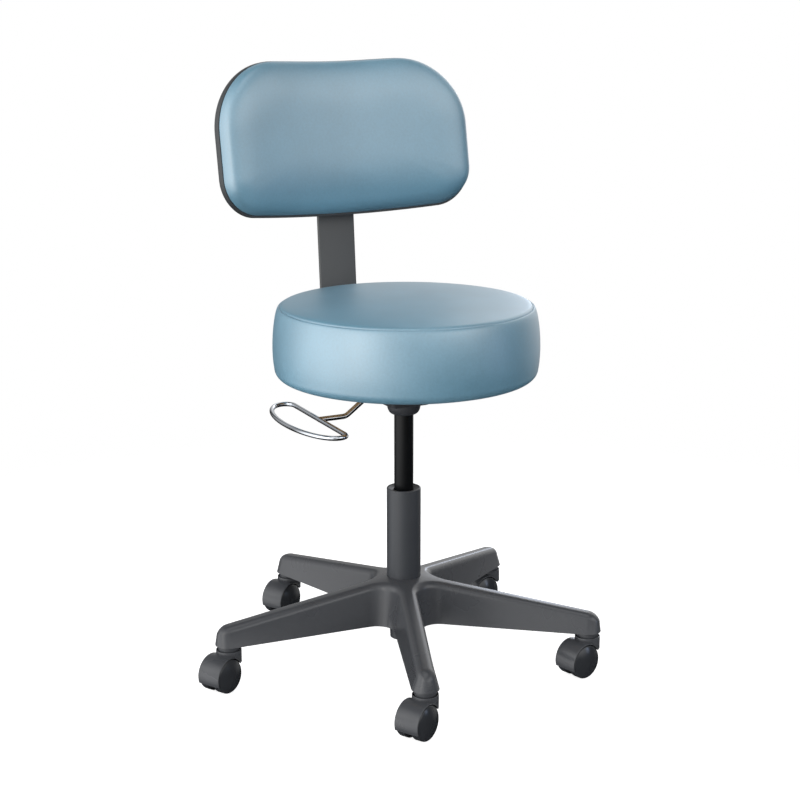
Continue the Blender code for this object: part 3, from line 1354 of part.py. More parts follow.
def along_axle(mesh):
    """Turn a solid about Z so that its axis is the axle: Z becomes the axle's Y."""
    turn = Matrix.Rotation(-math.pi / 2, 4, "X")
    return moved(mesh, Matrix.Translation((-CASTER_TRAIL, 0, WHEEL_RADIUS)) @ turn)


def well_outline() -> list:
    """Side view of a wheel's room in the hood: round over the wheel, open to the front and the ground."""
    ceiling = COLLAR_TOP - COLLAR_LENGTH + HOOD_WALL
    first = math.asin((ceiling - WHEEL_RADIUS) / HOOD_INNER_RADIUS)
    last = math.pi + math.asin((WHEEL_RADIUS - HOOD_GROUND) / HOOD_INNER_RADIUS)
    points = []
    for i in range(WELL_STEPS + 1):
        angle = first + (last - first) * i / WELL_STEPS
        x = HOOD_INNER_RADIUS * math.cos(angle) - CASTER_TRAIL
        points.append((x, HOOD_INNER_RADIUS * math.sin(angle) + WHEEL_RADIUS))
    points.append((points[-1][0], -WHEEL_RADIUS))
    points.append((3 * WHEEL_RADIUS, -WHEEL_RADIUS))
    points.append((3 * WHEEL_RADIUS, ceiling))
    return points


def hood_mesh():
    """The caster's hood: a round cover over both wheels, a web between them and a collar for the neck."""
    w = HOOD_HALF_WIDTH
    cover = along_axle(
        turned("caster_hood", [(0, w), (HOOD_RADIUS, w), (HOOD_RADIUS, -w), (0, -w)], HOOD_STEPS, True)
    )
    collar = cylinder("collar", COLLAR_RADIUS, COLLAR_TOP - COLLAR_LENGTH, COLLAR_TOP, RING_STEPS)
    tools = [("UNION", collar)]
    upright = Matrix.Rotation(math.pi / 2, 4, "X")
    for side in (1, -1):
        low, high = sorted((side * CASTER_WEB / 2, side * 2 * w))
        tools.append(("DIFFERENCE", moved(prism("well", well_outline(), low, high), upright)))
    reach = 2 * WHEEL_DIAMETER
    ground = block("ground", (-reach, -reach, -WHEEL_DIAMETER), (reach, reach, HOOD_GROUND))
    recess_radius = NECK_DIAMETER / 2 + COLLAR_GAP
    recess = cylinder("recess", recess_radius, COLLAR_FLOOR, COLLAR_TOP + HOOD_WALL, RING_STEPS)
    stem_hole = turned(
        "stem_hole",
        [
            (0, COLLAR_TOP),
            (STEM_DIAMETER / 2 + FIT_GAP, COLLAR_TOP),
            (STEM_DIAMETER / 2 + FIT_GAP, STEM_SEAT),
            (STEM_FOOT_DIAMETER / 2 + FIT_GAP, STEM_SEAT),
            (STEM_FOOT_DIAMETER / 2 + FIT_GAP, STEM_SEAT - STEM_FOOT_LENGTH),
            (0, STEM_SEAT - STEM_FOOT_LENGTH),
        ],
        STEM_STEPS,
    )
    axle_radius = AXLE_DIAMETER / 2 + FIT_GAP
    axle_hole = along_axle(cylinder("axle_hole", axle_radius, -CASTER_WEB, CASTER_WEB, STEM_STEPS))
    tools += [("DIFFERENCE", tool) for tool in (ground, recess, stem_hole, axle_hole)]
    return combined("caster_hood", cover, tools)


def stem_mesh():
    """The caster's stem: shoulder in the hood, foot in its web, and the shank up in the leg's socket."""
    top = LEG_UNDERSIDE + SOCKET_DEPTH - FIT_GAP
    seat_at = STEM_SEAT + FIT_GAP
    foot = STEM_SEAT - STEM_FOOT_LENGTH + FIT_GAP
    profile = [
        (0, top),
        (STEM_DIAMETER / 2 - COLUMN_LIP, top),
        (STEM_DIAMETER / 2, top - COLUMN_LIP),
        (STEM_DIAMETER / 2, seat_at),
        (STEM_FOOT_DIAMETER / 2, seat_at),
        (STEM_FOOT_DIAMETER / 2, foot),
        (0, foot),
    ]
    return turned("caster_stem", profile, STEM_STEPS)


def wheel_mesh():
    """A wheel along +Z from the caster's middle: flat inside with a blind bore, tread, domed outside."""
    bore = AXLE_DIAMETER / 2 + FIT_GAP
    bore_end = CASTER_WEB / 2 + AXLE_REACH + FIT_GAP
    tread = WHEEL_RADIUS / math.cos(math.pi / WHEEL_STEPS)
    outer = WHEEL_INNER + WHEEL_TREAD
    rim = tread - WHEEL_EDGE
    profile = [(0, outer + WHEEL_EDGE + WHEEL_DOME)]
    for share in CROWN_SHARES:
        profile.append((rim * share, outer + WHEEL_EDGE + WHEEL_DOME * math.sqrt(1 - share**2)))
    profile += [
        (rim, outer + WHEEL_EDGE),
        (tread, outer),
        (tread, WHEEL_INNER),
        (bore, WHEEL_INNER),
        (bore, bore_end),
        (0, bore_end),
    ]
    return turned("caster_wheel", profile, WHEEL_STEPS, True)


def casters(materials: dict) -> None:
    """Five casters, each a hood, stem and axle that swivel together, and two wheels."""
    charcoal = materials["charcoal"]
    black = materials["wheel"]
    steel = materials["steel"]
    hood = hood_mesh()
    stem = stem_mesh()
    axle_half = CASTER_WEB / 2 + AXLE_REACH
    axle = cylinder("caster_axle", AXLE_DIAMETER / 2, -axle_half, axle_half, STEM_STEPS)
    left = wheel_mesh()
    right = wheel_mesh()
    right.transform(Matrix.Rotation(math.pi, 4, "X"))
    upright_axle = Matrix.Rotation(-math.pi / 2, 4, "X")
    for mesh in (axle, left, right):
        mesh.transform(upright_axle)
    for k in range(LEG_COUNT):
        angle = math.radians(BASE_TURN_DEG - 90) + 2 * math.pi * k / LEG_COUNT
        spot = (STEM_CIRCLE * math.cos(angle), STEM_CIRCLE * math.sin(angle), 0)
        heading = math.radians(CASTER_TURNS_DEG[k % len(CASTER_TURNS_DEG)])
        swivel = pivot(f"caster_swivel_{k + 1}", spot, (0, 0, heading))
        place(f"caster_hood_{k + 1}", hood, charcoal, swivel)
        place(f"caster_stem_{k + 1}", stem, steel, swivel)
        for name, mesh, material in (
            (f"caster_axle_{k + 1}", axle, steel),
            (f"caster_wheel_left_{k + 1}", left, black),
            (f"caster_wheel_right_{k + 1}", right, black),
        ):
            obj = place(name, mesh, material, swivel)
            obj.location = (-CASTER_TRAIL, 0, WHEEL_RADIUS)


def make_materials() -> dict:
    """The part's finishes."""
    return {
        "vinyl": make_material("slate_blue_vinyl", "84A3B4", 0.5),
        "charcoal": make_material("charcoal_nylon", "4A4D50", 0.42),
        "charcoal_metal": make_material("charcoal_painted_steel", "464748", 0.5),
        "black_metal": make_material("black_painted_steel", "1B1C1E", 0.4),
        "black_plastic": make_material("black_moulded_plastic", "2A2B2D", 0.5),
        "wheel": make_material("black_wheel_nylon", "1C1C1E", 0.4),
        "rubber": make_material("black_rubber", "161616", 0.8),
        "steel": make_material("zinc_plated_steel", "B4B6B8", 0.35, 1.0),
        "chrome": make_material("chromed_steel_wire", "E4E6E8", 0.08, 1.0),
        "plywood": make_material("plywood", "B58F5E", 0.65),
    }


def main() -> None:
    """Build the stool."""
    clear_scene()
    materials = make_materials()
    base = place("star_base", star_base_mesh(), materials["charcoal"])
    base.rotation_euler = (0, 0, math.radians(BASE_TURN_DEG - 90))
    rod_pivot = pivot("swivel_axis", (0, 0, COLUMN_FLOOR_TOP))
    seat_pivot = pivot("seat_slide", (0, 0, SEAT_BOTTOM))
    hang(seat_pivot, rod_pivot)
    gas_lift(materials, rod_pivot, seat_pivot)
    seat(materials, seat_pivot)
    release(materials, seat_pivot)
    bar_pivot = bar_assembly(materials, seat_pivot)
    backrest(materials, bar_pivot)
    casters(materials)
    bpy.context.view_layer.update()


main()
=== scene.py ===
"""The looks of a gas-lift swivel stool with a padded back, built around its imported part.

Metres, +Z up. The column axis stands on the origin, the seat faces -Y, and the release lever lies
towards -X. Each sub-assembly is a class with its sizes as fields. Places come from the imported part.
"""

import json
import logging
import math
from collections.abc import Callable
from dataclasses import dataclass
from enum import Enum

import bmesh
import bpy
import numpy as np
from bpy.types import Material, Mesh, Node, NodeSocket, NodeTree, Object
from mathutils import Matrix, Vector
from mathutils.bvhtree import BVHTree


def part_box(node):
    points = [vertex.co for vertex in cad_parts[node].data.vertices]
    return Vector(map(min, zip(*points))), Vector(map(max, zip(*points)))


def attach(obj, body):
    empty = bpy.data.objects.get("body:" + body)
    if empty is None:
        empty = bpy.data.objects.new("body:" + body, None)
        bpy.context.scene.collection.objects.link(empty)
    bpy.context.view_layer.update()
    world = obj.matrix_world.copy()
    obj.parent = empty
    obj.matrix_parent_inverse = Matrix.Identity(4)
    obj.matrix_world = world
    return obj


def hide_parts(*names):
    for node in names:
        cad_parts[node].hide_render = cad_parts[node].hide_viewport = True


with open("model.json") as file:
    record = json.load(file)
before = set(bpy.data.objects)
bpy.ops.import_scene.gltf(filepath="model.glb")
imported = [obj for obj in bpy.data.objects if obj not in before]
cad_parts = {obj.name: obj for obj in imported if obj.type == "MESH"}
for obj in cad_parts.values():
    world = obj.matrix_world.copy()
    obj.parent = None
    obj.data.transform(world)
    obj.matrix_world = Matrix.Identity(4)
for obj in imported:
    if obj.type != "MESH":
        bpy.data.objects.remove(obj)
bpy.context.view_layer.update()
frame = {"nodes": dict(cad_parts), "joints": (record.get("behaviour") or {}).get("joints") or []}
LOG = logging.getLogger("stool")
MM = 0.001
QUARTER = math.pi / 2
LEAST_CAP = 0.2 * MM * MM
SAME_PLACE = 0.001 * MM


class Slot(Enum):
    """Material slots of the part's record."""

    VINYL = "slate_blue_vinyl"
    NYLON = "charcoal_nylon"
    SHELL = "charcoal_shell"
    COLUMN = "charcoal_column"
    BAR = "charcoal_steel"
    BLACK_STEEL = "black_steel"
    BLACK_PLASTIC = "black_plastic"
    WHEEL = "black_wheel_nylon"
    RUBBER = "black_rubber"
    ZINC = "zinc_steel"
    CHROME = "chromed_wire"
    PLYWOOD = "plywood"


class Ends(Enum):
    """How a skin over rings is closed."""

    CAPPED = "a face on the first and last ring"
    LOOPED = "the last ring joined to the first"


@dataclass(frozen=True)
class Box:
    """Where a node of the part lies at rest."""

    low: Vector
    high: Vector

    @staticmethod
    def of(node: str) -> "Box":
        """The box of a node of the part."""
        return Box(*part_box(node))

    @property
    def centre(self) -> Vector:
        """Middle of the box."""
        return (self.low + self.high) / 2

    @property
    def size(self) -> Vector:
        """Lengths of the box's sides."""
        return self.high - self.low


# Materials


def srgb(code: str) -> tuple[float, float, float, float]:
    """Linear RGBA of an sRGB hex colour."""
    shares = [int(code[i : i + 2], 16) / 255 for i in (0, 2, 4)]
    linear = [c / 12.92 if c <= 0.04045 else ((c + 0.055) / 1.055) ** 2.4 for c in shares]
    return (*linear, 1.0)


def add_node(
    tree: NodeTree, kind: str, inputs: dict | None = None, **settings: object
) -> Node:
    """Add a node to a tree.

    Args:
        tree: The tree that takes the node.
        kind: Blender's name of the node's type.
        inputs: Values, or outputs to link, of its inputs by name or number.
        settings: Values of the node's attributes.

    Returns:
        The node.
    """
    node = tree.nodes.new(kind)
    for key, value in settings.items():
        setattr(node, key, value)
    for key, value in (inputs or {}).items():
        if isinstance(value, NodeSocket):
            tree.links.new(value, node.inputs[key])
        else:
            node.inputs[key].default_value = value
    return node


def new_material(
    name: str,
) -> tuple[Material, NodeTree, Node, NodeSocket]:
    """An empty material.

    Args:
        name: What the real material is called.

    Returns:
        The material, its node tree, its Principled shader and the place in the object's own frame.
    """
    material = bpy.data.materials.new(name)
    material.use_nodes = True
    tree = material.node_tree
    place = add_node(tree, "ShaderNodeTexCoord").outputs["Object"]
    return material, tree, tree.nodes["Principled BSDF"], place


@dataclass(frozen=True)
class Finish:
    """What the finishes share: a name and two near colours that a pattern blends."""

    name: str
    colour: str
    deep: str

    def wire(
        self,
        tree: NodeTree,
        shader: Node,
        share: NodeSocket,
        gloss: tuple[NodeSocket, float, float] | None = None,
        relief: tuple[NodeSocket, float] | None = None,
    ) -> None:
        """Drive the shader's colour, gloss and relief by patterns.

        Args:
            tree: The material's tree.
            shader: Its Principled shader.
            share: Pattern from the deep colour to the other.
            gloss: A noise, with the roughness at its low and at its high end.
            relief: Pattern of the height, with its depth.
        """
        colours = {"Factor": share, 6: srgb(self.deep), 7: srgb(self.colour)}
        colour = add_node(tree, "ShaderNodeMix", colours, data_type="RGBA")
        tree.links.new(colour.outputs[2], shader.inputs["Base Color"])
        if gloss:
            noise, smooth, rough = gloss
            spread = {"Value": noise, "From Min": 0.3, "From Max": 0.7, "To Min": smooth, "To Max": rough}
            roughness = add_node(tree, "ShaderNodeMapRange", spread)
            tree.links.new(roughness.outputs["Result"], shader.inputs["Roughness"])
        if relief:
            height, depth = relief
            bump = add_node(tree, "ShaderNodeBump", {"Strength": 0.3, "Distance": depth, "Height": height})
            tree.links.new(bump.outputs["Normal"], shader.inputs["Normal"])


@dataclass(frozen=True)
class UpholsteryVinyl(Finish):
    """Expanded vinyl on a knitted back, embossed with a fine leather grain and matt lacquered."""

    grain: float
    tone: float
    roughness: float
    lacquer: float
    relief: float = 0.25 * MM

    def material(self) -> Material:
        """Soft wide highlights, a faint pebble all over, slow changes of tone from the print, and painted
        shade that darkens the grain's hollows.
        """
        material, tree, shader, place = new_material(self.name)
        pebble = add_node(
            tree, "ShaderNodeTexVoronoi",
            {"Vector": place, "Scale": 1 / self.grain, "Smoothness": 0.6}, feature="SMOOTH_F1",
        )
        crease = add_node(
            tree, "ShaderNodeTexNoise", {"Vector": place, "Scale": 0.6 / self.grain, "Detail": 4.0}
        ).outputs["Fac"]
        height = add_node(
            tree, "ShaderNodeMath",
            {0: pebble.outputs["Distance"], 1: 0.7, 2: crease}, operation="MULTIPLY_ADD",
        )
        drift = add_node(
            tree, "ShaderNodeTexNoise", {"Vector": place, "Scale": 1 / self.tone, "Detail": 2.0}
        )
        # The colour follows two patterns. The slow drift is the print's real tone. The crease term is
        # painted shade: the colour is darker where the grain's relief is low.
        print_tone_and_hollow_shade = add_node(
            tree, "ShaderNodeMath", {0: crease, 1: 0.9, 2: drift.outputs["Fac"]}, operation="MULTIPLY_ADD"
        )
        share = add_node(
            tree, "ShaderNodeMapRange", {"Value": print_tone_and_hollow_shade.outputs[0], "From Min": 0.6, "From Max": 1.3}
        )
        gloss = (crease, self.roughness - 0.05, self.roughness + 0.06)
        self.wire(tree, shader, share.outputs["Result"], gloss, (height.outputs[0], self.relief))
        shader.inputs["IOR"].default_value = 1.8
        shader.inputs["Specular IOR Level"].default_value = 1.0
        shader.inputs["Coat Weight"].default_value = self.lacquer
        shader.inputs["Coat Roughness"].default_value = self.roughness
        shader.inputs["Coat IOR"].default_value = 1.85
        return material


@dataclass(frozen=True)
class MouldedPlastic(Finish):
    """Moulded plastic or a baked coat: one colour with a fine even texture from the tool or the spray."""

    roughness: float
    texture: float
    relief: float
    flow: float = 70 * MM
    ior: float = 1.5

    def material(self) -> Material:
        """Satin gloss that changes slowly along the flow, and a fine texture that breaks the highlights."""
        material, tree, shader, place = new_material(self.name)
        texture, flow = (
            add_node(
                tree, "ShaderNodeTexNoise", {"Vector": place, "Scale": 1 / size, "Detail": 3.0}
            ).outputs["Fac"]
            for size in (self.texture, self.flow)
        )
        share = add_node(
            tree, "ShaderNodeMath", {0: texture, 1: 0.35, 2: flow}, operation="MULTIPLY_ADD"
        )
        spread = add_node(
            tree, "ShaderNodeMapRange", {"Value": share.outputs[0], "From Min": 0.3, "From Max": 1.05}
        )
        gloss = (flow, self.roughness - 0.015, self.roughness + 0.015)
        self.wire(tree, shader, spread.outputs["Result"], gloss, (texture, self.relief))
        shader.inputs["IOR"].default_value = self.ior
        return material


@dataclass(frozen=True)
class PlatedSteel(Finish):
    """Steel with a plated skin, bright chrome or dull zinc."""

    roughness: float
    haze: float
    patch: float

    def material(self) -> Material:
        """Mirror or satin metal whose gloss clouds a little from handling."""
        material, tree, shader, place = new_material(self.name)
        noise = add_node(
            tree, "ShaderNodeTexNoise", {"Vector": place, "Scale": 1 / self.patch, "Detail": 4.0}
        ).outputs["Fac"]
        self.wire(tree, shader, noise, (noise, self.roughness, self.roughness + self.haze))
        shader.inputs["Metallic"].default_value = 1.0
        return material


@dataclass(frozen=True)
class Plywood(Finish):
    """Birch plywood, rotary cut, with pale and dark veneers that show along the edge."""

    grain: float
    veneer: float
    relief: float = 0.2 * MM

    def material(self) -> Material:
        """Long streaks of grain on the faces and fine stripes on the edges, dry and matt."""
        material, tree, shader, place = new_material(self.name)
        along = add_node(tree, "ShaderNodeMapping", {"Vector": place, "Scale": (0.08, 1.0, 1.0)})
        streak = add_node(
            tree, "ShaderNodeTexNoise",
            {"Vector": along.outputs[0], "Scale": 1 / self.grain, "Detail": 5.0},
        ).outputs["Fac"]
        layers = add_node(
            tree, "ShaderNodeTexWave",
            {"Vector": place, "Scale": 1 / (20 * self.veneer), "Distortion": 0.4}, bands_direction="Z",
        )
        share = add_node(
            tree, "ShaderNodeMath",
            {0: layers.outputs["Fac"], 1: 0.3, 2: streak}, operation="MULTIPLY_ADD", use_clamp=True,
        )
        self.wire(tree, shader, share.outputs[0], None, (streak, self.relief))
        shader.inputs["Roughness"].default_value = 0.7
        return material


class Finishes:
    """Every finish of the stool, by the record's slot."""

    def __init__(self) -> None:
        """Make the materials."""
        finishes = {
            # Embossed and matt lacquered: a soft wide sheen over a faint pebble. The real grain is about
            # 1 mm; it is drawn at twice that to show at this distance.
            Slot.VINYL: UpholsteryVinyl(
                "upholstery_vinyl_slate_blue", "6AA4BF", "568FA9", 2.1 * MM, 90 * MM, 0.46, 1.0
            ),
            # Injection moulded: dark satin that draws the light out along the legs. The texture of this one
            # and of the next seven is usually about 0.2 mm; it is drawn at 1.5 to 2.5 mm to show.
            Slot.NYLON: MouldedPlastic(
                "glass_filled_nylon_charcoal", "494B4F", "45474B", 0.28, 1.5 * MM, 0.02 * MM
            ),
            # Moulded in an eroded tool: matt and even, a shade darker than the base.
            Slot.SHELL: MouldedPlastic(
                "moulded_polypropylene_charcoal", "3F4245", "3B3E41", 0.44, 1.8 * MM, 0.09 * MM
            ),
            # Powder coat baked on a tube: one broad soft light down its side.
            Slot.COLUMN: MouldedPlastic(
                "powder_coated_steel_charcoal", "3C3F44", "383B40", 0.4, 2.2 * MM, 0.04 * MM
            ),
            # The same coat on flat bar, paler and duller.
            Slot.BAR: MouldedPlastic(
                "powder_coated_flat_steel", "555657", "515253", 0.46, 2.2 * MM, 0.05 * MM
            ),
            # Enamel on ground steel: near black, with a narrow weak sheen.
            Slot.BLACK_STEEL: MouldedPlastic(
                "black_enamelled_steel", "101214", "0B0D0F", 0.34, 2.5 * MM, 0.03 * MM, ior=1.33
            ),
            # Moulded acetal: soft black that shows its edges.
            Slot.BLACK_PLASTIC: MouldedPlastic(
                "black_acetal", "242527", "1C1D1F", 0.45, 1.5 * MM, 0.05 * MM
            ),
            # Moulded in a polished tool: small clear lights on the domes.
            Slot.WHEEL: MouldedPlastic("wheel_nylon_black", "313337", "2D2F32", 0.22, 1.6 * MM, 0.02 * MM),
            # Pressed rubber: dead black, without lights.
            Slot.RUBBER: MouldedPlastic(
                "nitrile_rubber_black", "1B1B1B", "131313", 0.75, 1.5 * MM, 0.1 * MM
            ),
            # Barrel plated: grey satin metal with a cloudy gloss.
            Slot.ZINC: PlatedSteel("zinc_plated_steel", "C2C5C8", "A5A8AC", 0.26, 0.16, 6 * MM),
            # Chrome on drawn wire: a mirror that turns the room into streaks.
            Slot.CHROME: PlatedSteel("chromed_steel_wire", "E4E8EE", "D0D6DE", 0.03, 0.03, 25 * MM),
            # Rotary cut and sanded: pale and dry, with long streaks.
            Slot.PLYWOOD: Plywood("birch_plywood", "C9A678", "A67F50", 9 * MM, 1.5 * MM),
        }
        self.by_slot = {slot: finish.material() for slot, finish in finishes.items()}

    def __getitem__(self, slot: Slot) -> Material:
        """The material of a slot."""
        return self.by_slot[slot]

    def coat(self, slot: Slot, *nodes: str) -> None:
        """Give nodes of the part that stay in view their finish."""
        for node in nodes:
            mesh = frame["nodes"][node].data
            mesh.materials.clear()
            mesh.materials.append(self[slot])

    def piece(
        self,
        name: str,
        mesh: Mesh,
        body: str,
        slot: Slot,
        replaces: tuple[str, ...] = (),
        crease: float = 35,
        look: Slot | None = None,
    ) -> Object:
        """Put a finished mesh into the scene as a piece of the stool.

        Args:
            name: Name of the piece.
            mesh: Its mesh, with its place applied.
            body: The part's body that it rides on.
            slot: The record's slot that it takes its finish from.
            replaces: Nodes of the part that it stands for.
            crease: Angle in degrees from which an edge shows sharp.
            look: Slot of the finish that it shows, where that is another one.

        Returns:
            The piece.
        """
        mesh.materials.clear()
        mesh.materials.append(self[look or slot])
        mesh.shade_smooth()
        mesh.set_sharp_from_angle(angle=math.radians(crease))
        piece = held_object(name, mesh)
        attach(piece, body)
        if replaces:
            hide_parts(*replaces)
        LOG.info("%s rides on %s, %d faces", name, body, len(mesh.polygons))
        return piece


# Meshes


def closed_mesh(bm: bmesh.types.BMesh, name: str) -> Mesh:
    """A mesh with its doubles merged and its faces pointing out.

    Args:
        bm: The shape, which is freed.
        name: Name of the mesh.

    Returns:
        The mesh.
    """
    bmesh.ops.remove_doubles(bm, verts=bm.verts, dist=SAME_PLACE)
    bmesh.ops.recalc_face_normals(bm, faces=bm.faces)
    if bm.calc_volume(signed=True) < 0:
        bmesh.ops.reverse_faces(bm, faces=bm.faces)
    mesh = bpy.data.meshes.new(name)
    bm.to_mesh(mesh)
    bm.free()
    return mesh


def spanned(ring: list[Vector]) -> float:
    """Area that a ring spans: none for a pole, or for a line that runs out and back."""
    start = ring[0]
    total = Vector((0, 0, 0))
    for a, b in zip(ring[1:], ring[2:]):
        total += (a - start).cross(b - start)
    return total.length / 2


def skin(name: str, rings: list[list[Vector]], ends: Ends = Ends.CAPPED) -> Mesh:
    """A solid skinned over rings of equally many points.

    Args:
        name: Name of the mesh.
        rings: The rings in order. One that spans no area closes by itself.
        ends: How the first and last ring are closed.

    Returns:
        The mesh.
    """
    bm = bmesh.new()
    loops = [[bm.verts.new(p) for p in ring] for ring in rings]
    pairs = list(zip(loops, loops[1:]))
    if ends is Ends.LOOPED:
        pairs.append((loops[-1], loops[0]))
    for low, high in pairs:
        for i in range(len(low)):
            j = (i + 1) % len(low)
            bm.faces.new((low[i], low[j], high[j], high[i]))
    if ends is Ends.CAPPED:
        for ring, loop in ((rings[0], loops[0]), (rings[-1], loops[-1])):
            if spanned(ring) > LEAST_CAP:
                bm.faces.new(loop)
    return closed_mesh(bm, name)


def circle(radius: float, height: float, steps: int) -> list[Vector]:
    """Points of a level circle about Z."""
    turns = [2 * math.pi * i / steps for i in range(steps)]
    return [Vector((radius * math.cos(t), radius * math.sin(t), height)) for t in turns]


def arc(
    x: float, z: float, radius: float, start: float, end: float, steps: int = 6
) -> list[tuple[float, float]]:
    """Points of an arc in a profile.

    Args:
        x: The centre's distance from the axis.
        z: The centre's height.
        radius: Radius of the arc.
        start: First angle in degrees, from outwards towards up.
        end: Last angle in degrees.
        steps: Number of chords.

    Returns:
        The points as (distance, height).
    """
    angles = [math.radians(start + (end - start) * i / steps) for i in range(steps + 1)]
    return [(x + radius * math.cos(a), z + radius * math.sin(a)) for a in angles]


def turned(
    name: str, profile: list[tuple[float, float]], steps: int = 72, ends: Ends = Ends.CAPPED
) -> Mesh:
    """A solid of revolution about Z.

    Args:
        name: Name of the mesh.
        profile: Points as (distance, height), in order.
        steps: Number of facets round the axis.
        ends: LOOPED where the profile closes on itself, round a bore.

    Returns:
        The mesh.
    """
    return skin(name, [circle(r, z, steps) for r, z in profile], ends)


def pin(name: str, radius: float, low: float, high: float, steps: int = 72) -> Mesh:
    """A plain cylinder about Z between two heights."""
    return turned(name, [(0, high), (radius, high), (radius, low), (0, low)], steps)


def prism(name: str, outline: list[tuple[float, float]], low: float, high: float) -> Mesh:
    """An outline in XY extruded along Z between two heights."""
    rings = [[Vector((x, y, z)) for x, y in outline] for z in (low, high)]
    return skin(name, rings)


def rounded_rectangle(
    width: float, length: float, radius: float, steps: int = 8
) -> list[tuple[float, float]]:
    """Outline of a rectangle about the origin with round corners."""
    points = []
    for k, (sx, sy) in enumerate(((1, 1), (-1, 1), (-1, -1), (1, -1))):
        points += arc(
            sx * (width / 2 - radius), sy * (length / 2 - radius), radius, 90 * k, 90 * (k + 1), steps
        )
    return points


def moved(mesh: Mesh, matrix: Matrix) -> Mesh:
    """The same mesh with a placement applied."""
    mesh.transform(matrix)
    return mesh


def joined(name: str, meshes: list[Mesh]) -> Mesh:
    """Meshes that don't touch, in one mesh."""
    bm = bmesh.new()
    for mesh in meshes:
        bm.from_mesh(mesh)
    return closed_mesh(bm, name)


def evaluated(holder: Object) -> Mesh:
    """A plain mesh of an object as its modifiers leave it. The object is removed.

    Args:
        holder: The object with its modifiers.

    Returns:
        The mesh.
    """
    bpy.context.view_layer.update()
    graph = bpy.context.evaluated_depsgraph_get()
    mesh = bpy.data.meshes.new_from_object(holder.evaluated_get(graph))
    bpy.data.objects.remove(holder, do_unlink=True)
    return mesh


def held_object(name: str, mesh: Mesh) -> Object:
    """A helper object in the scene that holds a mesh."""
    holder = bpy.data.objects.new(name, mesh)
    bpy.context.scene.collection.objects.link(holder)
    return holder


def carved(
    name: str, body: Mesh, tools: list[tuple[str, Mesh]]
) -> Mesh:
    """A body after Booleans.

    Args:
        name: Name of the result.
        body: The mesh to start from.
        tools: Operations with their meshes, in order.

    Returns:
        The mesh.
    """
    holder = held_object(name, body)
    helpers = []
    for operation, mesh in tools:
        helpers.append(held_object(f"{name}_tool", mesh))
        modifier = holder.modifiers.new(operation.lower(), "BOOLEAN")
        modifier.operation = operation
        modifier.solver = "EXACT"
        modifier.object = helpers[-1]
    mesh = evaluated(holder)
    for helper in helpers:
        bpy.data.objects.remove(helper, do_unlink=True)
    mesh.name = name
    return mesh


def softened(mesh: Mesh, width: float, segments: int = 3, limit: float = 40) -> Mesh:
    """A mesh with its sharp edges rounded.

    Args:
        mesh: The mesh.
        width: Width of the rounding.
        segments: Faces across it.
        limit: Least angle of an edge in degrees.

    Returns:
        The rounded mesh.
    """
    holder = held_object(mesh.name, mesh)
    bevel = holder.modifiers.new("rounding", "BEVEL")
    bevel.width = width
    bevel.segments = segments
    bevel.limit_method = "ANGLE"
    bevel.angle_limit = math.radians(limit)
    return evaluated(holder)


# Geometry Nodes


@dataclass
class NodeRecipe:
    """A Geometry Nodes tree with named inputs, from which plain meshes are grown."""

    name: str

    def __post_init__(self) -> None:
        """Make the tree with its geometry in and out."""
        self.tree = bpy.data.node_groups.new(self.name, "GeometryNodeTree")
        self.socket("Geometry", "NodeSocketGeometry", "OUTPUT")
        self.socket("Geometry", "NodeSocketGeometry")
        self.source = self.tree.nodes.new("NodeGroupInput")

    def socket(self, name: str, kind: str, way: str = "INPUT") -> None:
        """Add a named socket to the tree's interface."""
        self.tree.interface.new_socket(name=name, in_out=way, socket_type=kind)

    def close(self, geometry: NodeSocket) -> None:
        """End the tree: plain geometry in the finish that the Finish input names."""
        plain = add_node(self.tree, "GeometryNodeRealizeInstances", {"Geometry": geometry})
        finish = add_node(
            self.tree, "GeometryNodeSetMaterial",
            {"Geometry": plain.outputs[0], "Material": self.source.outputs["Finish"]},
        )
        add_node(self.tree, "NodeGroupOutput", {0: finish.outputs[0]})

    def grow(self, start: Mesh, values: dict) -> Mesh:
        """Run the tree.

        Args:
            start: The mesh that goes into it.
            values: Values of its inputs by name.

        Returns:
            The plain mesh that comes out.
        """
        holder = held_object(self.name, start)
        modifier = holder.modifiers.new(self.name, "NODES")
        modifier.node_group = self.tree
        for item in self.tree.interface.items_tree:
            if item.in_out == "INPUT" and item.name in values:
                modifier[item.identifier] = values[item.name]
        return evaluated(holder)


class WireRecipe(NodeRecipe):
    """Round wire along the edges of a path."""

    def __init__(self) -> None:
        """Build the tree: path to curve, swept by a circle."""
        super().__init__("wire_along_path")
        self.socket("Wire Diameter", "NodeSocketFloat")
        self.socket("Facets", "NodeSocketInt")
        self.socket("Finish", "NodeSocketMaterial")
        outputs = self.source.outputs
        path = add_node(self.tree, "GeometryNodeMeshToCurve", {"Mesh": outputs["Geometry"]})
        radius = add_node(
            self.tree, "ShaderNodeMath", {0: outputs["Wire Diameter"], 1: 2.0}, operation="DIVIDE"
        )
        section = add_node(
            self.tree, "GeometryNodeCurvePrimitiveCircle",
            {"Resolution": outputs["Facets"], "Radius": radius.outputs[0]},
        )
        sweep = add_node(
            self.tree, "GeometryNodeCurveToMesh",
            {"Curve": path.outputs[0], "Profile Curve": section.outputs[0], "Fill Caps": True},
        )
        self.close(sweep.outputs[0])


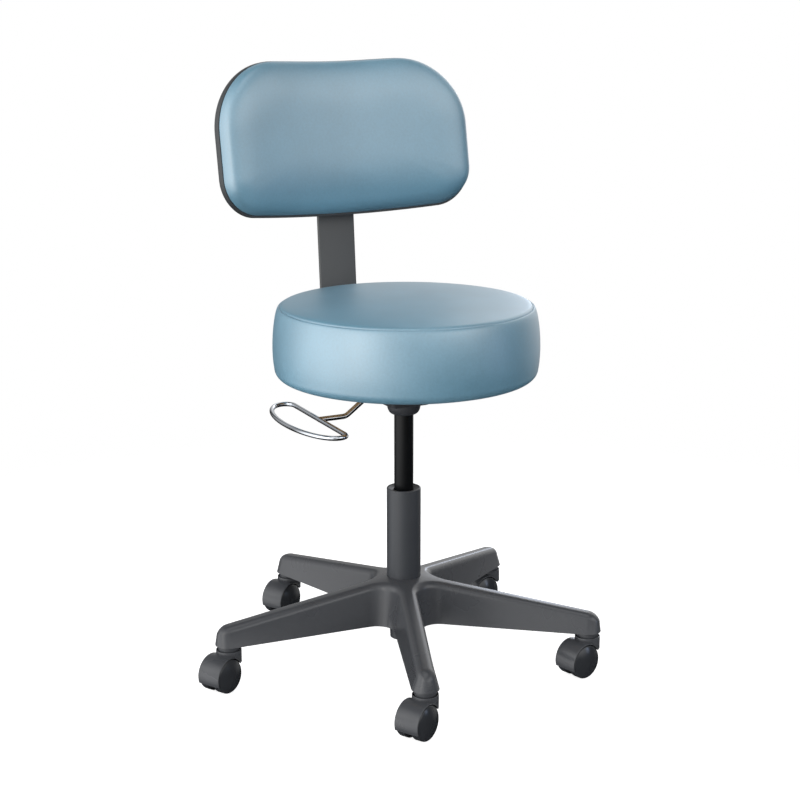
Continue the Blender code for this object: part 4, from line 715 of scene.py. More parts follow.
class FastenerRecipe(NodeRecipe):
    """One fastener at each point of a mesh, along its axis, at its heading and spun at random."""

    def __init__(self) -> None:
        """Build the tree: instances on points, aligned and spun."""
        super().__init__("fasteners_at_points")
        self.socket("Fastener", "NodeSocketObject")
        self.socket("Spin", "NodeSocketFloat")
        self.socket("Seed", "NodeSocketInt")
        self.socket("Finish", "NodeSocketMaterial")
        outputs = self.source.outputs
        shape = add_node(self.tree, "GeometryNodeObjectInfo", {"Object": outputs["Fastener"]})
        axis = add_node(
            self.tree, "GeometryNodeInputNamedAttribute", {"Name": "axis"}, data_type="FLOAT_VECTOR"
        )
        aligned = add_node(
            self.tree, "FunctionNodeAlignRotationToVector",
            {"Vector": axis.outputs["Attribute"]}, axis="Z",
        )
        copies = add_node(
            self.tree, "GeometryNodeInstanceOnPoints",
            {
                "Points": outputs["Geometry"], "Instance": shape.outputs["Geometry"],
                "Rotation": aligned.outputs[0],
            },
        )
        spin = add_node(
            self.tree, "FunctionNodeRandomValue",
            {"Min": 0.0, "Max": outputs["Spin"], "Seed": outputs["Seed"]}, data_type="FLOAT",
        )
        heading = add_node(
            self.tree, "GeometryNodeInputNamedAttribute", {"Name": "heading"}, data_type="FLOAT"
        )
        angle = add_node(
            self.tree, "ShaderNodeMath",
            {0: heading.outputs["Attribute"], 1: spin.outputs["Value"]}, operation="ADD",
        )
        turn = add_node(self.tree, "ShaderNodeCombineXYZ", {"Z": angle.outputs[0]})
        spun = add_node(
            self.tree, "GeometryNodeRotateInstances",
            {"Instances": copies.outputs[0], "Rotation": turn.outputs[0], "Local Space": True},
        )
        self.close(spun.outputs[0])

    def scatter(
        self,
        shape: Mesh,
        places: list[tuple[Vector, Vector, float]],
        spin: float,
        seed: int,
        finish: Material,
    ) -> Mesh:
        """Copies of a fastener.

        Args:
            shape: The fastener, about Z.
            places: A point, its axis and its turn about that axis, for each.
            spin: Greatest random turn.
            seed: Seed of the turns.
            finish: The fasteners' material.

        Returns:
            The mesh of all of them.
        """
        holder = held_object("fastener", shape)
        values = {"Fastener": holder, "Spin": spin, "Seed": seed, "Finish": finish}
        mesh = self.grow(points_mesh(places), values)
        bpy.data.objects.remove(holder, do_unlink=True)
        return mesh


def points_mesh(places: list[tuple[Vector, Vector, float]]) -> Mesh:
    """Loose points with an axis and a heading each.

    Args:
        places: A point, its axis and its turn about that axis, for each.

    Returns:
        The mesh, with its attributes "axis" and "heading".
    """
    mesh = bpy.data.meshes.new("places")
    mesh.from_pydata([p for p, _, _ in places], [], [])
    mesh.attributes.new("axis", "FLOAT_VECTOR", "POINT")
    mesh.attributes.new("heading", "FLOAT", "POINT")
    # Both are looked up once they exist, because adding one moves the others.
    axes, headings = mesh.attributes["axis"].data, mesh.attributes["heading"].data
    for i, (_, axis, heading) in enumerate(places):
        axes[i].vector = axis
        headings[i].value = heading
    return mesh


def path_mesh(points: list[Vector], closed: bool) -> Mesh:
    """A line of edges through points."""
    edges = [(i, i + 1) for i in range(len(points) - 1)]
    if closed:
        edges.append((len(points) - 1, 0))
    mesh = bpy.data.meshes.new("path")
    mesh.from_pydata(points, edges, [])
    return mesh


# Padding


@dataclass(frozen=True)
class Filling:
    """Foam under a tight cover. Cloth pressure swells a smaller start, and its cover follows by a share."""

    voxel: float = 5 * MM
    inset: float = 3 * MM
    pressure: float = 4.0
    frames: int = 20
    cap: float = 7 * MM
    follow: float = 0.25
    smoothing: int = 24

    def swell(self, form: Mesh, held: Callable[[Vector], bool]) -> BVHTree:
        """Simulate the swelling of a form.

        Args:
            form: The pad's plain form.
            held: Whether a point rests on what carries the pad and stays.

        Returns:
            The swollen surface.
        """
        bm = bmesh.new()
        bm.from_mesh(form)
        bm.normal_update()
        for vert in bm.verts:
            if not held(vert.co):
                vert.co -= vert.normal * self.inset
        start = closed_mesh(bm, "filling")
        holder = held_object("filling", start)
        remesh = holder.modifiers.new("remesh", "REMESH")
        remesh.mode = "VOXEL"
        remesh.voxel_size = self.voxel
        holder = held_object("filling", evaluated(holder))
        before = [v.co.copy() for v in holder.data.vertices]
        group = holder.vertex_groups.new(name="held")
        group.add([i for i, p in enumerate(before) if held(p)], 1.0, "REPLACE")
        cloth = holder.modifiers.new("cover", "CLOTH")
        cloth.settings.use_pressure = True
        cloth.settings.uniform_pressure_force = self.pressure
        cloth.settings.vertex_group_mass = group.name
        cloth.settings.effector_weights.gravity = 0
        cloth.point_cache.frame_start = 1
        cloth.point_cache.frame_end = self.frames
        scene = bpy.context.scene
        for number in range(1, self.frames + 1):
            scene.frame_set(number)
        mesh = evaluated(holder)
        scene.frame_set(1)
        after = []
        for vert, rest in zip(mesh.vertices, before):
            step = vert.co - rest
            after.append(rest + step * min(1.0, self.cap / max(step.length, 1e-9)))
        faces = [tuple(p.vertices) for p in mesh.polygons]
        bpy.data.meshes.remove(mesh)
        return BVHTree.FromPolygons(after, faces)

    def cover(
        self, form: Mesh, rings: list[list[Vector]], held: Callable[[Vector], bool]
    ) -> list[list[Vector]]:
        """Lay a cover's rings over the swollen form.

        Args:
            form: The pad's plain form.
            rings: The cover's rings, on the plain form but for its seams.
            held: Whether a point rests on what carries the pad and stays.

        Returns:
            The rings, moved by as much as the filling swells, smoothed along and across.
        """
        swollen = self.swell(form, held)
        bm = bmesh.new()
        bm.from_mesh(form)
        plain = BVHTree.FromBMesh(bm)
        bm.free()
        reach = 4 * self.cap
        lift = np.zeros((len(rings), len(rings[0])))
        normals = {}
        for i, ring in enumerate(rings):
            for j, point in enumerate(ring):
                spot, normal, _, _ = plain.find_nearest(point)
                normals[i, j] = normal
                hit, _, _, _ = swollen.ray_cast(spot + normal * reach, -normal, 2 * reach)
                if hit is not None and not held(point):
                    lift[i, j] = (hit - spot).dot(normal)
        free = lift != 0
        lift[free] = (lift[free] - np.median(lift[free])) * self.follow
        for _ in range(self.smoothing):
            lift = (lift + np.roll(lift, 1, 1) + np.roll(lift, -1, 1)) / 3
            lift[1:-1] = (lift[:-2] + 2 * lift[1:-1] + lift[2:]) / 4
        for row, ring in zip(lift, rings):
            if spanned(ring) < LEAST_CAP:
                row[:] = row.mean()
        LOG.info("filling lifts its cover by %.1f to %.1f mm", lift.min() / MM, lift.max() / MM)
        covered = []
        for i, ring in enumerate(rings):
            covered.append([p + normals[i, j] * float(lift[i, j]) for j, p in enumerate(ring)])
        return covered


# Sub-assemblies


@dataclass
class Seat:
    """The round seat: foam drum in vinyl, with the top sewn to the side band, and its board and bolts."""

    seam_below_top: float = 4.2 * MM
    seam_inset: float = 8.5 * MM
    bulge_drop: float = 58 * MM
    bottom_inset: float = 2.2 * MM
    bottom_radius: float = 14 * MM
    side_fullness: float = 0.9
    side_steps: int = 18
    foot_steps: int = 6
    roll: float = 4.2 * MM
    roll_rise: float = 2.8 * MM
    welt: float = 1.3 * MM
    groove: float = 1.8 * MM
    flap: float = 13 * MM
    flap_thickness: float = 0.9 * MM
    flap_turn: float = 2 * MM
    flap_sag: float = 0.1 * MM
    groove_width: float = 0.9 * MM
    fit: float = 0.3 * MM
    housing_plate: float = 3 * MM
    channel_plate: float = 2.5 * MM
    steps: int = 192
    staple_count: int = 44
    staple_crown: float = 10 * MM
    staple_wire: float = 1.1 * MM
    bolt_across: float = 10 * MM
    bolt_head: float = 4 * MM
    bolt_edge: float = 0.3 * MM
    bolt_chamfer: float = 0.86
    chamfer_scale: float = 1.06
    washer: float = 13 * MM
    washer_thickness: float = 0.8 * MM
    sunk: float = 0.1 * MM

    def __post_init__(self) -> None:
        """Take the seat's place and reach from the part."""
        box = Box.of("seat_cushion")
        self.board = Box.of("seat_board")
        self.radius = box.size.x / 2
        self.centre = Vector((box.centre.x, box.centre.y, 0))
        self.top = box.high.z
        self.bottom = box.low.z
        self.seam = self.top - self.seam_below_top

    def side(self) -> list[tuple[float, float]]:
        """Profile of the side band, from under the seam to the flap's turn."""
        bulge = self.seam - self.bulge_drop
        start = self.radius - self.seam_inset
        points = []
        for i in range(1, self.side_steps + 1):
            angle = QUARTER * i / self.side_steps
            drop = 1 - math.cos(angle) ** self.side_fullness
            points.append((start + self.seam_inset * math.sin(angle), self.seam - self.bulge_drop * drop))
        low = self.radius - self.bottom_inset
        shoulder = self.bottom + self.bottom_radius
        for i in range(1, self.foot_steps):
            share = i / self.foot_steps
            points.append((self.radius - self.bottom_inset * share**2, bulge + (shoulder - bulge) * share))
        points += arc(low - self.bottom_radius, shoulder, self.bottom_radius, 0, -90, 10)
        return points

    def crown(self, reach: float, steps: int) -> list[tuple[float, float]]:
        """Profile of the top from the middle out, falling to the roll's height."""
        edge = self.seam + self.roll_rise
        shares = [math.sin(QUARTER * i / steps) for i in range(steps + 1)]
        return [(reach * s, edge + (self.top - edge) * (1 - s**3)) for s in shares]

    def plain_profile(self) -> list[tuple[float, float]]:
        """Profile of the filling, without seams."""
        edge = self.radius - self.seam_inset
        return self.crown(edge - self.roll, 12) + self.side() + [(0, self.bottom)]

    def cover_profile(self) -> list[tuple[float, float]]:
        """Profile of the cover: top, rolled rim, seam groove, welt, side band and flap under the board."""
        edge = self.radius - self.seam_inset
        inner = edge - self.welt - self.roll
        level = self.seam + self.roll_rise
        points = self.crown(inner, 20)
        points += arc(inner, level - self.roll, self.roll, 84, 0, 9)
        points += [(edge - self.welt - self.groove_width, self.seam - self.groove)]
        points += arc(edge - self.welt / 3, self.seam - 0.7 * self.welt, 0.7 * self.welt, 170, 40, 6)
        points += self.side()
        under = self.bottom - self.flap_thickness
        turn = self.radius - self.bottom_inset - self.bottom_radius
        flap = turn - self.flap
        points += [(turn - self.flap_turn, under), (flap, under), (flap, self.bottom - self.flap_sag)]
        pocket = self.board.size.x / 2 + self.fit
        ceiling = self.board.high.z + self.fit
        points += [(pocket, self.bottom - self.flap_sag / 2), (pocket, ceiling)]
        return points + [(0, ceiling)]

    def pad(self, finishes: Finishes) -> None:
        """The upholstered drum, swelled over its filling."""
        shift = Matrix.Translation(self.centre)
        form = moved(turned("seat_form", self.plain_profile(), 96), shift)
        rings = [[self.centre + p for p in circle(r, z, self.steps)] for r, z in self.cover_profile()]
        low = self.bottom + 0.5 * self.bottom_radius
        covered = Filling().cover(form, rings, lambda p: p.z < low)
        mesh = skin("seat_pad", covered)
        pad = finishes.piece("seat_pad", mesh, "seat", Slot.VINYL, ("seat_cushion",), 60)

    def staples(self, finishes: Finishes, recipe: FastenerRecipe) -> None:
        """The staples that hold the cover's flap to the board."""
        half = self.staple_crown / 2
        wire = self.staple_wire
        outline = [(-half, 0), (half, 0), (half, wire / 2), (half - wire / 2, wire)]
        outline += [(-half + wire / 2, wire), (-half, wire / 2)]
        rings = [[Vector((x, y, z)) for x, z in outline] for y in (-wire / 2, wire / 2)]
        middle = self.radius - self.bottom_inset - self.bottom_radius - 0.6 * self.flap
        under = self.bottom - self.flap_thickness
        places = []
        for k in range(self.staple_count):
            angle = 2 * math.pi * k / self.staple_count
            spot = Vector((middle * math.cos(angle), middle * math.sin(angle), under))
            places.append((self.centre + spot, Vector((0, 0, -1)), QUARTER - angle))
        mesh = recipe.scatter(skin("staple", rings), places, 0.5, 2, finishes[Slot.ZINC])
        finishes.piece("seat_staples", mesh, "seat", Slot.ZINC)

    def bolts(self, finishes: Finishes, recipe: FastenerRecipe) -> None:
        """Hexagon bolts with washers, in place of the part's plain ones."""
        nodes = [f"seat_bolt_{k}" for k in range(1, 5)] + ["channel_bolt_1", "channel_bolt_2"]
        across = self.bolt_across / math.sqrt(3)
        washer = skin("washer", [circle(self.washer / 2, z, 24) for z in (0, self.washer_thickness)])
        top = self.bolt_head
        foot = self.washer_thickness - self.sunk
        low = foot - self.sunk
        head = skin("head", [circle(r, z, 6) for r, z in ((across, foot), (across, top), (0, top))])
        cone = [(0, low), (across, low), (self.bolt_chamfer * across, top), (0, top)]
        dome = moved(turned("chamfer", cone, 24), Matrix.Scale(self.chamfer_scale, 4))
        head = carved("head", softened(head, self.bolt_edge, 2), [("INTERSECT", dome)])
        bolt = joined("bolt", [washer, head])
        places = []
        for node in nodes:
            box = Box.of(node)
            spot = Vector((box.centre.x, box.centre.y, self.bolt_seat(node)))
            places.append((spot, Vector((0, 0, -1)), 0.0))
        mesh = recipe.scatter(bolt, places, 1.0, 4, finishes[Slot.ZINC])
        finishes.piece("seat_bolts", mesh, "seat", Slot.ZINC, tuple(nodes))

    def bolt_seat(self, node: str) -> float:
        """Height of the face that a bolt's washer bears on."""
        plate = self.housing_plate if node.startswith("seat") else self.channel_plate
        return self.bottom - self.fit - plate

    def build(self, finishes: Finishes, recipe: FastenerRecipe) -> None:
        """Make the seat's pieces."""
        self.pad(finishes)
        self.staples(finishes, recipe)
        self.bolts(finishes, recipe)
        finishes.coat(Slot.PLYWOOD, "seat_board")


@dataclass
class ControlHousing:
    """The pressed housing under the seat, with the cup on the gas tube's taper."""

    plate_thickness: float = 3 * MM
    box_width: float = 62 * MM
    box_length: float = 52 * MM
    box_depth: float = 43.5 * MM
    wall: float = 2.5 * MM
    corner: float = 6 * MM
    cup_top: float = 49 * MM
    cup_lip: float = 2 * MM
    fit: float = 0.3 * MM
    slot_height: float = 12.5 * MM
    slot_width: float = 8.4 * MM
    slot_corner: float = 3 * MM
    slot_rise: float = 2 * MM
    lever_drop: float = 16 * MM
    plate_edge: float = 0.8 * MM
    flare: float = 3 * MM
    flare_waist: float = 0.8 * MM
    flare_fall: float = 1.2 * MM
    foot_edge: float = 2 * MM
    foot_waist: float = 0.6 * MM
    cup_edge: float = 0.8 * MM
    cup_steps: int = 14
    bore_taper: float = 0.5 * MM

    def __post_init__(self) -> None:
        """Take the housing's place from the part."""
        box = Box.of("control_housing")
        self.plate = box.size
        self.top = box.high.z
        self.cup_bottom = box.low.z
        self.tube = Box.of("gas_tube").size.x / 2
        self.box_bottom = self.top + self.fit - self.box_depth

    def box_mesh(self) -> Mesh:
        """The pressed box, flared into the plate and rounded at its foot."""
        under = self.top - self.plate_thickness
        rings = []
        for grow, z in (
            (self.flare, self.top - self.plate_thickness / 2),
            (self.flare, under),
            (self.flare_waist, under - self.flare_fall),
            (0, under - self.flare),
            (0, self.box_bottom + self.foot_edge),
            (-self.foot_waist, self.box_bottom + self.foot_waist),
            (-self.foot_edge, self.box_bottom),
        ):
            outline = rounded_rectangle(
                self.box_width + 2 * grow, self.box_length + 2 * grow, self.corner + max(grow, 0)
            )
            rings.append([Vector((x, y, z)) for x, y in outline])
        return skin("box", rings)

    def cup_mesh(self) -> Mesh:
        """The cup, drawn in to its lip round the tube."""
        lip = self.tube + self.fit + self.cup_lip
        rise = self.cup_top / 2 - lip
        depth = self.box_bottom - self.cup_bottom
        inside = self.box_bottom + self.wall / 2
        profile = [(0, inside), (self.cup_top / 2, inside)]
        for i in range(self.cup_steps + 1):
            angle = QUARTER * i / self.cup_steps
            profile.append((lip + rise * math.cos(angle), self.box_bottom - depth * math.sin(angle)))
        profile += [(lip - self.cup_edge, self.cup_bottom), (0, self.cup_bottom)]
        return turned("cup", profile)

    def cuts(self) -> list[Mesh]:
        """The box's hollow, the tapered bore and the lever's slot."""
        hollow = rounded_rectangle(
            self.box_width - 2 * self.wall, self.box_length - 2 * self.wall, self.corner - self.wall
        )
        inner = prism("inner", hollow, self.box_bottom + self.wall, self.top + self.plate_thickness)
        high = self.box_bottom + 2 * self.wall
        low = self.cup_bottom - self.wall
        taper = [(0, high), (self.tube - self.bore_taper, high), (self.tube + self.fit, low), (0, low)]
        bore = turned("bore", taper)
        level = self.top + self.fit - self.lever_drop + self.slot_rise
        opening = rounded_rectangle(self.slot_height, self.slot_width, self.slot_corner)
        slot = prism("slot", opening, self.box_width / 2 - 2 * self.wall, self.box_width)
        moved(slot, Matrix.Translation((0, 0, level)) @ Matrix.Rotation(-QUARTER, 4, "Y"))
        return [inner, bore, slot]

    def build(self, finishes: Finishes) -> None:
        """Make the housing."""
        outline = rounded_rectangle(self.plate.x, self.plate.y, self.corner)
        plate = prism("control_housing", outline, self.top - self.plate_thickness, self.top)
        tools = [("UNION", self.box_mesh()), ("UNION", self.cup_mesh())]
        tools += [("DIFFERENCE", cut) for cut in self.cuts()]
        mesh = carved("control_housing", softened(plate, self.plate_edge), tools)
        nodes = ("control_housing",)
        finishes.piece("housing_shell", mesh, "seat", Slot.BLACK_STEEL, nodes, look=Slot.COLUMN)
        finishes.coat(Slot.ZINC, "lever_pin", "release_pin")


@dataclass
class GasLift:
    """Column, guide ring and gas tube, with the working parts inside them."""

    lip: float = 1.6 * MM
    wall: float = 2 * MM
    foot: float = 40 * MM
    taper_top: float = 122 * MM
    fit: float = 0.3 * MM
    floor: float = 4 * MM
    hole: float = 8.6 * MM
    mouth_edge: float = 0.5 * MM
    mouth_flare: float = 0.2 * MM
    bush_slope: float = 1.6 * MM
    bush_round: float = 0.6 * MM
    bush_rim: float = 1.2 * MM
    bush_fall: float = 0.3 * MM
    tube_wall: float = 1.6 * MM
    tube_round: float = 1.5 * MM
    tube_roll: float = 0.8 * MM
    head_taper: float = 1.2 * MM
    valve_depth: float = 14 * MM
    bore_end: float = 40 * MM
    steps: int = 96

    def __post_init__(self) -> None:
        """Take the places from the part."""
        self.column = Box.of("column_tube")
        self.tube = Box.of("gas_tube")
        self.bush = Box.of("guide_bush")

    def column_mesh(self) -> Mesh:
        """The column with a rolled mouth, tapered where it sits in the hub."""
        outer = self.column.size.x / 2
        inner = outer - self.wall
        top = self.column.high.z
        low = self.column.low.z
        floor = low + self.floor
        profile = arc(outer - self.lip, top - self.lip, self.lip, 90, 0, 8)
        profile += [(outer, self.taper_top), (self.foot / 2, low)]
        profile += [(self.hole / 2, low), (self.hole / 2, floor)]
        profile += [(self.foot / 2 - self.wall, floor), (inner, self.taper_top)]
        profile += [(inner, top - self.mouth_edge), (inner + self.mouth_flare, top)]
        return turned("column", profile, self.steps, Ends.LOOPED)

    def bush_mesh(self) -> Mesh:
        """The guide ring, dished towards the tube."""
        outer = self.bush.size.x / 2
        inner = self.tube.size.x / 2 + self.fit
        top = self.bush.high.z
        profile = [(outer, top), (outer, self.bush.low.z), (inner, self.bush.low.z)]
        soft = self.bush_round
        dish = top - self.bush_slope - soft
        profile += [(inner, dish)] + arc(inner + soft, dish, soft, 180, 110, 4)
        profile += [(outer - self.bush_rim, top - self.bush_fall)]
        return turned("guide_ring", profile, self.steps, Ends.LOOPED)

    def tube_mesh(self) -> Mesh:
        """The gas spring's tube with its tapered head and rolled foot."""
        radius = self.tube.size.x / 2
        low, high = self.tube.low.z, self.tube.high.z
        cup = Box.of("control_housing").low.z
        bore = radius - self.tube_wall
        soft = self.tube_round
        valve, end = high - self.valve_depth, high - self.bore_end
        profile = [(0, valve), (self.hole / 2, valve), (self.hole / 2, high)]
        profile += arc(radius - self.head_taper - soft, high - soft, soft, 90, 0, 5)
        profile += [(radius, cup), (radius, low + soft), (radius - self.tube_roll, low), (bore, low)]
        profile += [(bore, end), (0, end)]
        return turned("gas_tube", profile, self.steps)

    def build(self, finishes: Finishes) -> None:
        """Make the lift's pieces."""
        for name, mesh, body, slot, node in (
            ("column", self.column_mesh(), "base", Slot.COLUMN, "column_tube"),
            ("guide_ring", self.bush_mesh(), "base", Slot.BLACK_PLASTIC, "guide_bush"),
            ("gas_spring_tube", self.tube_mesh(), "seat", Slot.BLACK_STEEL, "gas_tube"),
        ):
            finishes.piece(name, mesh, body, slot, (node,))
        finishes.coat(Slot.ZINC, "piston_rod", "rod_clip", "bearing_race_lower", "bearing_race_upper")
        finishes.coat(Slot.RUBBER, "bump_stop")
        finishes.coat(Slot.BLACK_PLASTIC, "rod_gland")


@dataclass
class StarBase:
    """The moulded base: five tapering legs on a hub, necks for the casters, and ribbed hollows below."""

    legs: int = 5
    hub_top: float = 130 * MM
    tip_top: float = 93 * MM
    underside: float = 64 * MM
    hub_width: float = 40 * MM
    tip_width: float = 38.5 * MM
    fillet: float = 26 * MM
    edge: float = 10 * MM
    draft: float = 6 * MM
    wall: float = 4 * MM
    ribs: int = 2
    hub_wall: float = 12 * MM
    nose_length: float = 17 * MM
    nose_height: float = 19 * MM
    neck: float = 31 * MM
    neck_drop: float = 8 * MM
    neck_round: float = 1 * MM
    hub_taper: float = 3 * MM
    bore_drop: float = 8 * MM
    bore_foot: float = 40.6 * MM
    fit: float = 0.3 * MM
    valley_steps: int = 12
    side_steps: int = 6
    tip_steps: int = 14
    edge_steps: int = 10

    def __post_init__(self) -> None:
        """Take the column and the caster stems from the part."""
        self.column = Box.of("column_tube").size.x / 2
        stem = Box.of("caster_stem_1").centre
        self.stem_circle = math.hypot(stem.x, stem.y)
        self.turn = math.atan2(stem.y, stem.x)

    def top(self, radius: float) -> float:
        """Height of the legs' sloping top at a distance from the column's axis."""
        share = (radius - self.column) / (self.stem_circle - self.column)
        return self.hub_top + (self.tip_top - self.hub_top) * share

    def nose(self, drop: float) -> float:
        """How far the leg's round end is drawn in at a distance below its top."""
        rest = max(0.0, 1 - drop / self.nose_height)
        return self.nose_length * (1 - math.sqrt(1 - rest**2))

    def side(self, inset: float, nose: float) -> tuple[list[Vector], list[Vector]]:
        """One side of a leg along +X in plan, moved in.

        Args:
            inset: How far it is moved in.
            nose: How far its end is moved in.

        Returns:
            Its points from the valley between two legs to the tip, and for each the point on the leg's
            centre line, or the axis, that the top runs to.
        """
        half = math.pi / self.legs
        tip = self.tip_width / 2
        taper = math.atan2(self.hub_width / 2 - tip, self.stem_circle - self.column)
        normal = Vector((math.sin(taper), math.cos(taper)))
        reach = self.stem_circle * math.sin(taper) + tip
        bisector = Vector((math.cos(half), math.sin(half)))
        centre = bisector * ((reach + self.fillet) / bisector.dot(normal))
        radius = self.fillet + inset
        sweep = QUARTER - half + taper
        points = []
        for i in range(self.valley_steps + 1):
            angle = math.pi + half + sweep * i / self.valley_steps
            points.append(centre + radius * Vector((math.cos(angle), math.sin(angle))))
        spine = [Vector((0, 0))] * len(points)
        start = points[-1]
        stem = Vector((self.stem_circle, 0))
        end = stem + (tip - inset) * normal
        for i in range(1, self.side_steps):
            points.append(start.lerp(end, i / self.side_steps))
        for i in range(self.tip_steps + 1):
            angle = (QUARTER - taper) * (1 - i / self.tip_steps)
            points.append(stem + Vector(((tip - nose) * math.cos(angle), (tip - inset) * math.sin(angle))))
        spine += [Vector((min(p.x, self.stem_circle), 0)) for p in points[len(spine) :]]
        return points, spine

    def ring(self, side: list[Vector], drop: float | None) -> list[Vector]:
        """The whole star from one side of a leg.

        Args:
            side: Points of the side, or of its centre line.
            drop: Distance below the legs' top, or None for the flat underside.

        Returns:
            The ring's points.
        """
        leg = [Vector((p.x, -p.y)) for p in side[:-1]] + side[:0:-1]
        points = []
        for k in range(self.legs):
            turn = Matrix.Rotation(2 * math.pi * k / self.legs, 2)
            for p in leg:
                z = self.underside if drop is None else self.top(p.length) - drop
                points.append(Vector((*(turn @ p), z)))
        return points

    def body(self) -> Mesh:
        """Legs and hub with drafted sides and rounded top edges."""
        under, _ = self.side(0, 0)
        rings = [self.ring(under, None)]
        for i in range(self.edge_steps + 1):
            angle = QUARTER * i / self.edge_steps
            drop = self.edge * (1 - math.sin(angle))
            points, spine = self.side(self.draft + self.edge * (1 - math.cos(angle)), self.nose(drop))
            rings.append(self.ring(points, drop))
        rings.append(self.ring(spine, 0))
        return skin("star_base", rings)

    def at_legs(self, mesh: Mesh, out: float) -> list[Mesh]:
        """Copies of a mesh, one on each leg at a distance from the axis."""
        shift = Matrix.Translation((out, 0, 0))
        return [
            moved(mesh.copy(), Matrix.Rotation(2 * math.pi * k / self.legs, 4, "Z") @ shift)
            for k in range(self.legs)
        ]

    def pockets(self) -> Mesh:
        """The hollows below the legs, parted by cross ribs."""
        tip = self.tip_width / 2
        first = self.column + self.hub_wall + self.wall
        last = self.stem_circle - tip - self.wall
        count = self.ribs + 1
        length = (last - first - self.ribs * self.wall) / count
        pockets = []
        for n in range(count):
            low = first + n * (length + self.wall)
            rings = []
            for x in (low, low + length):
                share = (x - self.column) / (self.stem_circle - self.column)
                half = self.hub_width / 2 + (tip - self.hub_width / 2) * share - self.wall
                top = self.top(x) - self.wall
                section = [(half, self.underside - self.wall), (half - self.draft, top - self.edge)]
                section.append((half - self.draft - self.edge / 2, top))
                section += [(-y, z) for y, z in reversed(section)]
                rings.append([Vector((x, y, z)) for y, z in section])
            pockets += self.at_legs(skin("pocket", rings), 0)
        return joined("pockets", pockets)

    def build(self, finishes: Finishes) -> None:
        """Make the base."""
        foot = Box.of("column_tube").low.z
        stem = Box.of("caster_stem_1")
        inside = self.underside + self.wall
        neck_low = self.underside - self.neck_drop
        soft = self.neck_round
        profile = [(0, inside), (self.neck / 2, inside)]
        profile += arc(self.neck / 2 - soft, neck_low + soft, soft, 0, -90, 4) + [(0, neck_low)]
        neck = turned("neck", profile)
        hole = pin("hole", stem.size.x / 2 + self.fit, neck_low - self.wall, stem.high.z + self.fit, 24)
        floor = self.underside - self.hub_wall
        cone = [(0, inside), (self.column + self.hub_wall, inside)]
        cone += [(self.column - self.hub_taper + self.wall, floor), (0, floor)]
        over = self.hub_top + self.hub_wall
        mouth = self.column + self.fit
        taper = [(0, over), (mouth, over), (mouth, self.hub_top - self.bore_drop)]
        taper += [(self.bore_foot / 2, foot), (0, foot)]
        tools = [
            ("UNION", joined("necks", self.at_legs(neck, self.stem_circle))),
            ("UNION", turned("hub", cone)),
            ("DIFFERENCE", joined("holes", self.at_legs(hole, self.stem_circle))),
            ("DIFFERENCE", self.pockets()),
            ("DIFFERENCE", turned("bore", taper)),
        ]
        mesh = moved(carved("star_base", self.body(), tools), Matrix.Rotation(self.turn, 4, "Z"))
        finishes.piece("five_leg_base", mesh, "base", Slot.NYLON, ("star_base",), 42)


